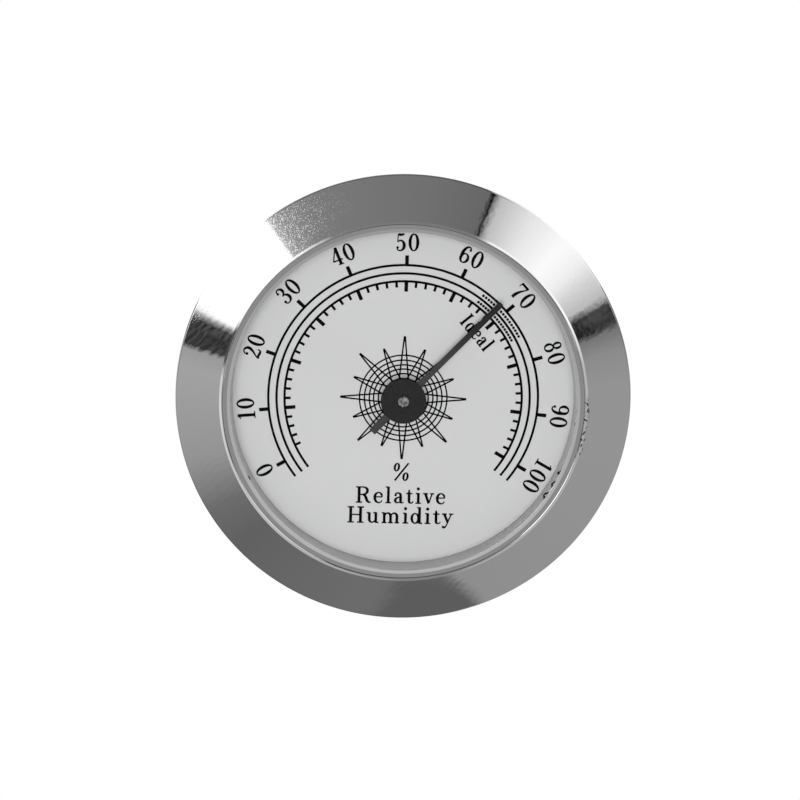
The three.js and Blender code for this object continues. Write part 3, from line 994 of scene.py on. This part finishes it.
class Ink:
    """Printed strokes, each a thin closed film standing just proud of the dial."""

    def __init__(self):
        self.points = []
        self.faces = []

    def film(self, right, left, closed=False):
        """A film between two edges that run side by side, given as (x, z) points."""
        base, count = len(self.points), len(right)
        for (rx, rz), (lx, lz) in zip(right, left):
            self.points += [(rx, INK_FRONT, rz), (lx, INK_FRONT, lz), (lx, INK_BACK, lz), (rx, INK_BACK, rz)]
        sections = [[base + 4 * i + k for k in range(4)] for i in range(count)]
        for i in range(count if closed else count - 1):
            here, there = sections[i], sections[(i + 1) % count]
            for k in range(4):
                n = (k + 1) % 4
                self.faces.append((here[k], there[k], there[n], here[n]))
        if not closed:
            self.faces += [sections[0], sections[-1][::-1]]

    def stroke(self, line, widths, closed=False):
        """A line of (x, z) points drawn with a pen whose width changes from point to point."""
        line = [np.array(p, float) for p in line]
        count = len(line)
        right, left = [], []
        for i, p in enumerate(line):
            before = line[i - 1] if closed or i > 0 else p
            after = line[(i + 1) % count] if closed or i < count - 1 else p
            along = (after - before) / np.linalg.norm(after - before)
            side = np.array((-along[1], along[0])) * widths[i] / 2
            right.append(p - side)
            left.append(p + side)
        self.film(right, left, closed)

    def ring(self, radius, width, start=0.0, end=360.0, steps_per_turn=240):
        """An arc around the dial's axis, between two angles from 3 o'clock."""
        closed = end - start >= 360
        steps = max(8, round(steps_per_turn * (end - start) / 360))
        right = arc_points(radius + width / 2, start, end, steps)
        left = arc_points(radius - width / 2, start, end, steps)
        if closed:
            right, left = right[:-1], left[:-1]
        self.film(right, left, closed)

    def dot(self, x, z, radius, steps=12):
        """A round dot, as a film between its right and left halves."""
        blunt = 0.05  # keeps the film's ends open by a hair, in radians
        angles = np.linspace(blunt, math.pi - blunt, steps)
        right = [(x + radius * math.sin(a), z - radius * math.cos(a)) for a in angles]
        left = [(2 * x - px, pz) for px, pz in right]
        self.film(right, left)

    def bar(self, start, end, width):
        self.stroke([start, end], [width, width])

    def build(self, name):
        mesh = bpy.data.meshes.new(name)
        mesh.from_pydata([[c * MM for c in p] for p in self.points], [], self.faces)
        mesh.materials.append(INK)
        made = bpy.data.objects.new(name, mesh)
        bpy.context.scene.collection.objects.link(made)
        return settle(made, "case", "dial_face")


# Glyphs are drawn in a box one unit high. A stroke is a list of (x, y, pen width) points on a smooth
# curve; an oval is (x, y, half width, half height, thick, thin); a ball is (x, y, radius); a bar is
# (x, y, x, y, width).
THICK, THIN, STEM, SERIF = 0.165, 0.07, 0.14, 0.06
CAP, WAIST, FOOT = 0.972, 0.635, 0.028  # heights of the serifs
INK_SPREAD = 0.045  # added to the width of every pen stroke, as printing does
NUMERAL_SPREAD = 0.012  # the same for the numerals, which are printed finer


def glyph(advance, strokes=(), ovals=(), balls=(), bars=()):
    return advance, strokes, ovals, balls, bars


def stem(x, top, width=STEM):
    return x, 0.0, x, top, width


def serif(start, end, y=FOOT):
    return start, y, end, y, SERIF


def upside_down(figure):
    """The glyph turned by half a turn about the middle of its box."""
    advance, strokes, ovals, balls, bars = figure
    return glyph(
        advance,
        [[(advance - x, 1 - y, w) for x, y, w in s] for s in strokes],
        [(advance - x, 1 - y, a, b, t, n) for x, y, a, b, t, n in ovals],
        [(advance - x, 1 - y, r) for x, y, r in balls],
        [(advance - a, 1 - b, advance - c, 1 - d, w) for a, b, c, d, w in bars],
    )


def arch(x):
    """The shoulder and leg that one stem of an m leans on."""
    shoulder = [(x, 0.45, 0.06), (x + 0.1, 0.6, 0.07), (x + 0.21, 0.62, 0.09)]
    return shoulder + [(x + 0.3, 0.5, STEM), (x + 0.31, 0.3, STEM), (x + 0.31, 0.0, STEM)]


SIX = glyph(
    0.62,
    [
        [(0.47, 0.83, THIN), (0.42, 0.94, THIN), (0.31, 0.95, 0.09), (0.18, 0.83, 0.13),
         (0.11, 0.6, 0.17), (0.105, 0.36, 0.16)],
    ],
    [(0.31, 0.29, 0.2, 0.255, 0.15, THIN)],
    [(0.465, 0.82, 0.07)],
)

GLYPHS = {
    "0": glyph(0.62, ovals=[(0.31, 0.5, 0.215, 0.46, THICK, THIN)]),
    "1": glyph(
        0.6,
        [[(0.32, 0.95, 0.09), (0.24, 0.87, 0.06), (0.13, 0.83, 0.05)]],
        bars=[(0.33, 0.0, 0.33, 0.99, THICK), serif(0.13, 0.53)],
    ),
    "2": glyph(
        0.62,
        [
            [(0.11, 0.72, THIN), (0.15, 0.88, THIN), (0.3, 0.96, 0.08), (0.45, 0.86, 0.14),
             (0.48, 0.7, 0.16), (0.38, 0.48, 0.12), (0.2, 0.26, 0.08), (0.09, 0.09, THIN)],
            [(0.07, 0.05, 0.09), (0.22, 0.1, 0.13), (0.38, 0.07, 0.14), (0.51, 0.09, 0.09),
             (0.56, 0.25, 0.05)],
        ],
        balls=[(0.14, 0.73, 0.075)],
    ),
    "3": glyph(
        0.62,
        [
            [(0.12, 0.8, THIN), (0.17, 0.93, THIN), (0.3, 0.965, 0.08), (0.43, 0.87, 0.14),
             (0.45, 0.72, 0.15), (0.36, 0.57, 0.09), (0.23, 0.53, 0.06)],
            [(0.23, 0.53, 0.06), (0.39, 0.5, 0.09), (0.5, 0.36, 0.16), (0.49, 0.16, 0.15),
             (0.33, 0.035, 0.08), (0.17, 0.05, THIN), (0.1, 0.17, THIN)],
        ],
        balls=[(0.14, 0.79, 0.07), (0.13, 0.19, 0.075)],
    ),
    "4": glyph(
        0.64,
        bars=[(0.41, 0.98, 0.06, 0.29, 0.065), (0.04, 0.28, 0.6, 0.28, 0.075)]
        + [stem(0.42, 1.0, THICK), serif(0.26, 0.58)],
    ),
    "5": glyph(
        0.62,
        [
            [(0.13, 0.5, 0.055), (0.26, 0.6, 0.08), (0.41, 0.54, 0.12), (0.49, 0.36, 0.17),
             (0.45, 0.15, 0.15), (0.3, 0.035, 0.08), (0.16, 0.06, THIN), (0.1, 0.18, THIN)],
            [(0.14, 0.93, 0.11), (0.3, 0.915, 0.14), (0.5, 0.96, 0.08)],
        ],
        balls=[(0.13, 0.2, 0.07)],
        bars=[(0.155, 0.95, 0.13, 0.5, 0.055)],
    ),
    "6": SIX,
    "7": glyph(
        0.6,
        [[(0.54, 0.93, 0.07), (0.42, 0.68, 0.08), (0.3, 0.42, 0.13), (0.25, 0.18, 0.17), (0.26, 0.0, 0.17)]],
        bars=[(0.07, 0.92, 0.56, 0.92, 0.13), (0.085, 0.97, 0.06, 0.7, 0.05)],
    ),
    "8": glyph(0.62, ovals=[(0.31, 0.75, 0.145, 0.21, 0.13, THIN), (0.31, 0.275, 0.19, 0.24, 0.14, THIN)]),
    "9": upside_down(SIX),
    "H": glyph(
        0.9,
        bars=[stem(x, 1.0, 0.15) for x in (0.2, 0.68)]
        + [serif(x - 0.16, x + 0.16, y) for x in (0.2, 0.68) for y in (FOOT, CAP)]
        + [(0.2, 0.5, 0.68, 0.5, 0.06)],
    ),
    "I": glyph(0.44, bars=[stem(0.21, 1.0, 0.15), serif(0.05, 0.37), serif(0.05, 0.37, CAP)]),
    "R": glyph(
        0.84,
        [
            [(0.2, 0.965, 0.06), (0.44, 0.965, 0.065), (0.6, 0.86, 0.13), (0.6, 0.64, 0.13),
             (0.44, 0.52, 0.065), (0.2, 0.51, 0.06)],
            [(0.4, 0.52, 0.1), (0.52, 0.4, 0.14), (0.6, 0.16, 0.14), (0.69, 0.04, 0.09),
             (0.8, 0.05, 0.05)],
        ],
        bars=[stem(0.2, 1.0, 0.15), serif(0.04, 0.36), serif(0.04, 0.3, CAP)],
    ),
    "a": glyph(
        0.56,
        [
            [(0.11, 0.5, THIN), (0.15, 0.61, THIN), (0.25, 0.645, 0.07), (0.36, 0.58, 0.12),
             (0.385, 0.42, 0.14), (0.385, 0.2, 0.14), (0.4, 0.07, 0.11), (0.47, 0.03, 0.06),
             (0.54, 0.09, 0.045)],
            [(0.37, 0.4, 0.055), (0.24, 0.36, 0.07), (0.13, 0.26, 0.12), (0.12, 0.12, 0.12),
             (0.2, 0.04, 0.07), (0.31, 0.07, 0.055), (0.37, 0.15, 0.05)],
        ],
        balls=[(0.13, 0.51, 0.06)],
    ),
    "d": glyph(
        0.64,
        ovals=[(0.25, 0.325, 0.165, 0.3, 0.13, 0.06)],
        bars=[stem(0.46, 1.03), serif(0.33, 0.46, 1.0), serif(0.46, 0.6)],
    ),
    "e": glyph(
        0.54,
        [
            [(0.46, 0.38, 0.07), (0.44, 0.53, 0.1), (0.35, 0.635, 0.07), (0.24, 0.64, 0.07),
             (0.13, 0.52, 0.13), (0.1, 0.32, 0.145), (0.15, 0.12, 0.12), (0.27, 0.03, 0.07),
             (0.39, 0.05, 0.055), (0.47, 0.16, 0.05)],
        ],
        bars=[(0.1, 0.38, 0.48, 0.38, 0.055)],
    ),
    "i": glyph(
        0.36,
        balls=[(0.17, 0.92, 0.085)],
        bars=[stem(0.18, 0.66), serif(0.05, 0.18, WAIST), serif(0.04, 0.32)],
    ),
    "l": glyph(0.36, bars=[stem(0.18, 1.03), serif(0.05, 0.18, 1.0), serif(0.04, 0.32)]),
    "m": glyph(
        1.0,
        [arch(0.18), arch(0.49)],
        bars=[stem(0.18, 0.66), serif(0.05, 0.18, WAIST)]
        + [serif(x - 0.12, x + 0.12) for x in (0.18, 0.49, 0.8)],
    ),
    "t": glyph(
        0.42,
        [
            [(0.19, 0.86, 0.04), (0.19, 0.66, 0.13), (0.19, 0.3, 0.14), (0.2, 0.11, 0.13),
             (0.27, 0.035, 0.07), (0.36, 0.06, 0.05), (0.4, 0.15, 0.045)],
        ],
        bars=[(0.04, 0.62, 0.36, 0.62, 0.06)],
    ),
    "u": glyph(
        0.68,
        [
            [(0.17, 0.65, 0.14), (0.17, 0.3, 0.14), (0.19, 0.12, 0.13), (0.29, 0.035, 0.07),
             (0.4, 0.08, 0.06), (0.48, 0.2, 0.055)],
        ],
        bars=[stem(0.49, 0.66), serif(0.04, 0.17, WAIST), serif(0.36, 0.49, WAIST), serif(0.49, 0.63)],
    ),
    "v": glyph(
        0.56,
        bars=[(0.11, 0.65, 0.29, 0.03, 0.13), (0.46, 0.65, 0.29, 0.03, 0.06)]
        + [serif(0.0, 0.24, WAIST), serif(0.35, 0.56, WAIST)],
    ),
    "y": glyph(
        0.58,
        [
            [(0.48, 0.65, 0.06), (0.34, 0.24, 0.06), (0.24, -0.08, 0.06), (0.15, -0.22, 0.07),
             (0.07, -0.2, 0.07)],
        ],
        balls=[(0.09, -0.18, 0.07)],
        bars=[(0.12, 0.65, 0.31, 0.12, 0.13), serif(0.01, 0.25, WAIST), serif(0.36, 0.58, WAIST)],
    ),
    "%": glyph(
        0.95,
        ovals=[(x, y, 0.11, 0.2, 0.1, 0.05) for x, y in ((0.21, 0.75), (0.74, 0.24))],
        bars=[(0.2, 0.02, 0.8, 0.98, 0.075)],
    ),
}


def smooth(points, steps=6):
    """Points on the curve that passes through the given ones."""
    points = [np.array(p, float) for p in points]
    padded = [2 * points[0] - points[1], *points, 2 * points[-1] - points[-2]]
    found = []
    for p0, p1, p2, p3 in zip(padded, padded[1:], padded[2:], padded[3:]):
        for k in range(steps):
            t = k / steps
            start = 2 * p1 + (p2 - p0) * t + (2 * p0 - 5 * p1 + 4 * p2 - p3) * t**2
            found.append(0.5 * (start + (3 * p1 - p0 - 3 * p2 + p3) * t**3))
    return [*found, points[-1]]


def write(ink, text, height, x, z, angle=0.0, width=None, tracking=0.1, slant=0.0, spread=INK_SPREAD):
    """Prints text centred on a point, its top turned clockwise from 12 o'clock by an angle."""
    natural = sum(GLYPHS[c][0] + tracking for c in text) - tracking
    wide = width / natural if width else height
    across = np.array((math.cos(math.radians(angle)), -math.sin(math.radians(angle))))
    up = np.array((math.sin(math.radians(angle)), math.cos(math.radians(angle))))
    centre = np.array((x, z), float)
    pen = -natural / 2

    def place(u, v):
        return centre + across * ((pen + u + slant * (v - 0.5)) * wide) + up * ((v - 0.5) * height)

    for character in text:
        advance, strokes, ovals, balls, bars = GLYPHS[character]
        for stroke in strokes:
            curve = smooth(stroke)
            ink.stroke([place(p[0], p[1]) for p in curve], [p[2] * height + spread for p in curve])
        for cx, cy, a, b, thick, thin in ovals:
            angles = [2 * math.pi * k / 40 for k in range(40)]
            line = [place(cx + a * math.cos(t), cy + b * math.sin(t)) for t in angles]
            pen_widths = [(thin + (thick - thin) * abs(math.cos(t)) ** 1.5) * height + spread for t in angles]
            ink.stroke(line, pen_widths, closed=True)
        for cx, cy, radius in balls:
            ink.dot(*place(cx, cy), radius * height + spread / 2, 9)
        for ax, ay, bx, by, w in bars:
            ink.bar(place(ax, ay), place(bx, by), w * height + spread)
        pen += advance + tracking


ARC_RADII = (13.07, 13.95, 14.86)
ARC_HALF_SWEEP = 128.0
NUMERAL_RADIUS = 17.38
NUMERAL_SWEEP = 0.995  # the numerals stand a little closer together than their marks
TEXT_HEIGHT = 1.85


def scale_angle(value):
    """Clockwise from 12 o'clock, for a humidity in percent."""
    return (value / 100 - 0.5) * SCALE_SWEEP


def on_dial(radius, angle):
    """The (x, z) point at a radius, clockwise from 12 o'clock."""
    away = math.radians(angle)
    return np.array((radius * math.sin(away), radius * math.cos(away)))


def dial_scale():
    """Three arcs, with marks every 2 percent inside and every 10 percent outside."""
    ink = Ink()

    def mark(value, start, length, width):
        angle = scale_angle(value)
        ink.bar(on_dial(start, angle), on_dial(start + length, angle), width)

    for radius in ARC_RADII:
        ink.ring(radius, 0.26, 90 - ARC_HALF_SWEEP, 90 + ARC_HALF_SWEEP)
    for value in range(0, 101, 10):
        mark(value, ARC_RADII[2], 1.08, 0.4)
    for value in range(2, 101, 2):
        length, width = (1.15, 0.4) if value % 10 == 0 else (0.68, 0.28)
        mark(value, ARC_RADII[0], -length, width)
    return ink.build("dial_scale")


def ideal_zone():
    """Two rows of dots that mark the recommended range, and its name."""
    ink = Ink()
    low, high, count = 65, 75, 17
    for inner, outer in zip(ARC_RADII, ARC_RADII[1:]):
        for k in range(count):
            angle = scale_angle(low + (high - low) * k / (count - 1))
            ink.dot(*on_dial((inner + outer) / 2, angle), 0.155, 8)
    place, turn_of_name = on_dial(10.95, 46.4), 49.5
    write(ink, "Ideal", 1.65, *place, turn_of_name, width=4.4, tracking=0.08)
    return ink.build("dial_zone")


def dial_numerals():
    ink = Ink()
    for value in range(0, 101, 10):
        angle = scale_angle(value) * NUMERAL_SWEEP
        place = on_dial(NUMERAL_RADIUS, angle)
        write(ink, str(value), 1.98, *place, angle, tracking=0.09, spread=NUMERAL_SPREAD)
    return ink.build("dial_numerals")


def dial_text():
    ink = Ink()
    write(ink, "%", 2.1, 0, -8.4, slant=0.12)
    write(ink, "Relative", TEXT_HEIGHT, 0, -11.1, width=10.1, tracking=0.06)
    write(ink, "Humidity", TEXT_HEIGHT, 0, -13.4, width=11.9, tracking=0.04)
    return ink.build("dial_text")


def dial_ornament():
    """Rings crossed by narrow spikes around the hub, every other one long."""
    ink = Ink()
    ring_radii = (2.2, 2.75, 3.27, 3.74, 4.27, 4.82)
    spikes, long_tip, short_tip = 16, 6.95, 5.95
    for radius in ring_radii:
        ink.ring(radius, 0.165, steps_per_turn=120)
    for k in range(spikes):
        angle = k * 360 / spikes
        tip = on_dial(short_tip if k % 2 else long_tip, angle)
        foot = on_dial(ring_radii[0], angle)
        side = on_dial(0.5, angle + 90)
        for way in (-1, 1):
            ink.bar(foot + way * side, tip + way * side * 0.08, 0.17)
    return ink.build("dial_ornament")


# ---- Studio --------------------------------------------------------------------------------------

# Tones of the studio's panels: the angle on the flange where a panel shows, anticlockwise
# from 3 o'clock, and a tone, where 0 is black, 1 is white and more is brighter still.
FLANGE_LIGHT = (
    (0, 0.58), (12, 0.545), (18.1, 0.44), (18.9, 0.18), (25, 0.22), (26.2, 0.71), (32, 0.82), (37, 0.935),
    (44, 0.985), (54, 0.9), (64.9, 0.72), (65.1, 0), (66.3, 0), (66.5, 0.4), (84, 0.44), (116, 0.475),
    (124, 0.56), (126.6, 0.66), (127, 1.2), (151, 1.2), (157.4, 0.93), (158.2, 0.26), (166.8, 0.21),
    (167.6, 0.6), (173, 0.635), (198, 0.58), (213, 0.42), (224, 0.38), (258, 0.42), (282, 0.41),
    (287, 0.555), (345, 0.578),
)
STREAKED = ((18.5, 25.5), (158, 167))  # where the panels are dark and streaked
# The same for the lip, which leans less and mirrors the panels' inner ends.
LIP_LIGHT = (
    (0, 0.7), (12, 0.72), (20, 0.88), (28, 0.98), (62, 0.95), (67, 0.46), (112, 0.47), (124, 1), (152, 1),
    (156, 0.3), (166, 0.3), (171, 0.8), (182, 0.84), (200, 0.78), (225, 0.72), (250, 0.66), (270, 0.52),
    (282, 0.5), (292, 0.63), (315, 0.69), (345, 0.66),
)
PORT = 0.02  # the dark spot where a face square to the dial mirrors the reader
LAND_PANELS = (0.46, 0.72)  # what the land beside the window mirrors, from below and from above
SLOPE_PANEL = 0.37
AMBIENT = 0.33  # what lights matte surfaces from all around
# How far from the line of sight each zone of panels starts, and how soft its border is, in degrees.
LAND_START, SLOPE_START, LIP_START, FLANGE_START, EDGE_START, ROOM_START = 7.5, 14.5, 22.5, 36, 55, 140
BORDER = 2.5
EDGE_LEAD = 12.5  # how much further ahead of their images the panels behind the flange stand
# A soft dark oval that the bottom of the flange mirrors, in degrees.
SHADE_OFFSET = 7.6  # its middle, anticlockwise from 6 o'clock
SHADE_SIZE = (14.5, 1.55)  # half its width around the turn, and half its height
SHADE_AWAY = 44.3
SHADE_TONE = 0.36


def radiance(tone):
    """The light that chrome needs to mirror, to show a display tone from 0 to 1."""
    return ((tone + 0.055) / 1.055) ** 2.4 / CHROME_TONE


def tone_ramp(graph, turn_share, stops):
    """Light and streakiness around the turn. The panels stand ahead of their images on the flange."""
    ramp = graph.node("ValToRGB", {0: turn_share})
    elements = ramp.color_ramp.elements
    while len(elements) < len(stops):
        elements.new(0.5)
    for element, (angle, tone) in zip(elements, stops):
        lead = 1.0 - 3.0 * math.cos(math.radians(angle))
        streaked = any(start < angle < end for start, end in STREAKED)
        element.position = min(max((angle + lead) / 360, 0), 1)
        element.color = (*(radiance(tone),) * 3, float(streaked))
    return ramp.outputs[0], ramp.outputs[1]


def flange_panels(graph, share, away, around):
    """What the flange mirrors: toned panels, some of them streaked, and the soft dark oval."""
    light, streaked = tone_ramp(graph, share, FLANGE_LIGHT)
    place = graph.node("CombineXYZ", {0: graph.product(away, 1.3), 1: graph.product(around, 9.0)}).outputs[0]
    streak = graph.remap(graph.noise(place, 1.0, 2.0, 0.55), 0.36, 0.66, -0.6, 0.8)
    factor = graph.maths("MULTIPLY_ADD", streaked, streak, 1.0)
    light = graph.node("VectorMath", {0: light, "Scale": factor}, operation="SCALE").outputs[0]
    bearing = graph.product(around, 180 / math.pi)
    offsets = {
        0: graph.maths("DIVIDE", graph.maths("ADD", bearing, 90 - SHADE_OFFSET), SHADE_SIZE[0]),
        1: graph.maths("DIVIDE", graph.maths("SUBTRACT", away, SHADE_AWAY), SHADE_SIZE[1]),
    }
    reach = graph.length(graph.node("CombineXYZ", offsets).outputs[0])
    shade = graph.remap(reach, 0.8, 1.12, 1.0, 0.0, "SMOOTHSTEP")
    return graph.mix(shade, light, (*(radiance(SHADE_TONE),) * 3, 1))


def studio_light(graph, back):
    """What everything that shines mirrors from each direction: panels in zones around the line of sight."""
    axis = Vector((-back.x, back.y, -back.z))
    right = (Vector((1, 0, 0)) - axis * axis.x).normalized()
    up = axis.cross(right).normalized()
    up *= math.copysign(1, up.z)
    way = graph.node("TexCoord").outputs["Generated"]
    away = graph.product(graph.maths("ARCCOSINE", graph.dot(way, axis)), 180 / math.pi)
    around = graph.maths("ARCTAN2", graph.dot(way, up), graph.dot(way, right))
    share = graph.maths("FRACT", graph.maths("MULTIPLY_ADD", around, 1 / (2 * math.pi), 1.0))
    lead = graph.product(graph.maths("COSINE", around), EDGE_LEAD / 360)
    ahead = graph.maths("FRACT", graph.maths("ADD", lead, graph.maths("ADD", share, 1.0)))
    room = graph.remap(graph.dot(way, (0, 0, 1)), -1.0, 1.0, 0.30, 0.55)
    rear = graph.remap(graph.dot(way, (0, 1, 0)), -0.2, 0.9, 0.0, 0.45, "SMOOTHSTEP")
    zones = (
        (LAND_START, graph.remap(graph.dot(way, up), -0.25, 0.25, *LAND_PANELS)),
        (SLOPE_START, (*(SLOPE_PANEL,) * 3, 1)),
        (LIP_START, tone_ramp(graph, share, LIP_LIGHT)[0]),
        (FLANGE_START, flange_panels(graph, share, away, around)),
        (EDGE_START, graph.remap(tone_ramp(graph, ahead, FLANGE_LIGHT)[0], 0.2, 2.0, 0.12, 2.2)),
        (ROOM_START, graph.maths("ADD", room, rear)),
    )
    light = (*(PORT,) * 3, 1)
    for start, panel in zones:
        light = graph.mix(graph.remap(away, start, start + BORDER, kind="SMOOTHSTEP"), light, panel)
    return light


def make_world(back):
    """A white backdrop for the camera, even light for matte surfaces and the studio for all that shines."""
    world = bpy.data.worlds.new("studio")
    bpy.context.scene.world = world
    world.use_nodes = True
    graph = Graph(world.node_tree)
    rays = graph.node("LightPath").outputs
    direct = graph.maths("LESS_THAN", rays["Diffuse Depth"], 0.5)
    through_glass = graph.product(rays["Is Transmission Ray"], direct)
    mirrored = graph.maths("MAXIMUM", rays["Is Glossy Ray"], through_glass)
    light = graph.mix(mirrored, (*(AMBIENT,) * 3, 1), studio_light(graph, back))
    shown = graph.mix(rays["Is Camera Ray"], light, (1, 1, 1, 1))
    background = graph.node("Background", {"Color": shown, "Strength": 1.0})
    output = graph.node("OutputWorld")
    world.node_tree.links.new(background.outputs[0], output.inputs[0])


def make_floor():
    """A plain white floor, well below the instrument, which a panel would hold."""
    size, drop = 3.0, 0.12
    mesh = bpy.data.meshes.new("floor")
    corners = [(-size, -size, -drop), (size, -size, -drop), (size, size, -drop), (-size, size, -drop)]
    mesh.from_pydata(corners, [], [(0, 1, 2, 3)])
    floor = bpy.data.objects.new("floor", mesh)
    bpy.context.scene.collection.objects.link(floor)
    material = bpy.data.materials.new("floor_white")
    material.use_nodes = True
    graph = Graph(material.node_tree)
    shader = graph.node("Emission", {"Color": (1, 1, 1, 1), "Strength": 1.0})
    material.node_tree.links.new(shader.outputs[0], graph.node("OutputMaterial").inputs[0])
    mesh.materials.append(material)
    floor.visible_diffuse = False
    floor.visible_glossy = False
    floor.visible_transmission = False
    floor.visible_shadow = False


def soft_light(name, place, size, power):
    """A large square softbox aimed at the dial. It lights matte surfaces, and polished ones don't show it."""
    light = bpy.data.lights.new(name, "AREA")
    light.shape = "SQUARE"
    light.size = size
    light.energy = power
    made = bpy.data.objects.new(name, light)
    made.location = place
    made.rotation_mode = "QUATERNION"
    made.rotation_quaternion = Vector(place).to_track_quat("Z", "Y")
    made.visible_glossy = False
    made.visible_camera = False
    made.visible_transmission = False
    bpy.context.scene.collection.objects.link(made)


# ---- Assembly ------------------------------------------------------------------------------------


camera_back = make_camera()
make_world(camera_back)
make_floor()
soft_light("key", (-0.05, -1.0, 0.05), 0.6, 6.9)

settle(trim_ring(), "case", "chrome", "trim_ring")
settle(lens_rim(), "case", "chrome", "lens_rim")
settle(lens(), "case", "lens_glass", "lens")
settle(reflector_ring(), "case", "chrome", "reflector_ring")
settle(dial_plate(), "case", "dial_face", "dial_plate")
settle(case_cup(), "case", "case_steel", "case_cup")
pillar(-1)
pillar(1)
dial_scale()
ideal_zone()
dial_numerals()
dial_text()
dial_ornament()
settle(calibration_screw(), "regulator", "brass", "calibration_screw")
humidity_coil()
settle(pointer(), "pointer", "pointer_paint", "pointer")
settle(hub_disc(), "pointer", "pointer_paint", "hub_disc")
settle(arbor(), "pointer", "arbor_steel", "arbor")
settle(bridge(), "case", "brass", "bridge")
bridge_screw(-1)
bridge_screw(1)
settle(front_bush(), "case", "brass", "front_bush")
settle(regulator_arm(), "regulator", "plated_steel", "regulator_arm")
settle(coil_stud(), "regulator", "brass", "coil_stud")
settle(spring_washer(), "regulator", "plated_steel", "spring_washer")
settle(sleeve("collet"), "pointer", "brass", "collet")
settle(sleeve("pointer_boss"), "pointer", "brass", "pointer_boss")

bpy.context.scene.view_settings.view_transform = "Standard"
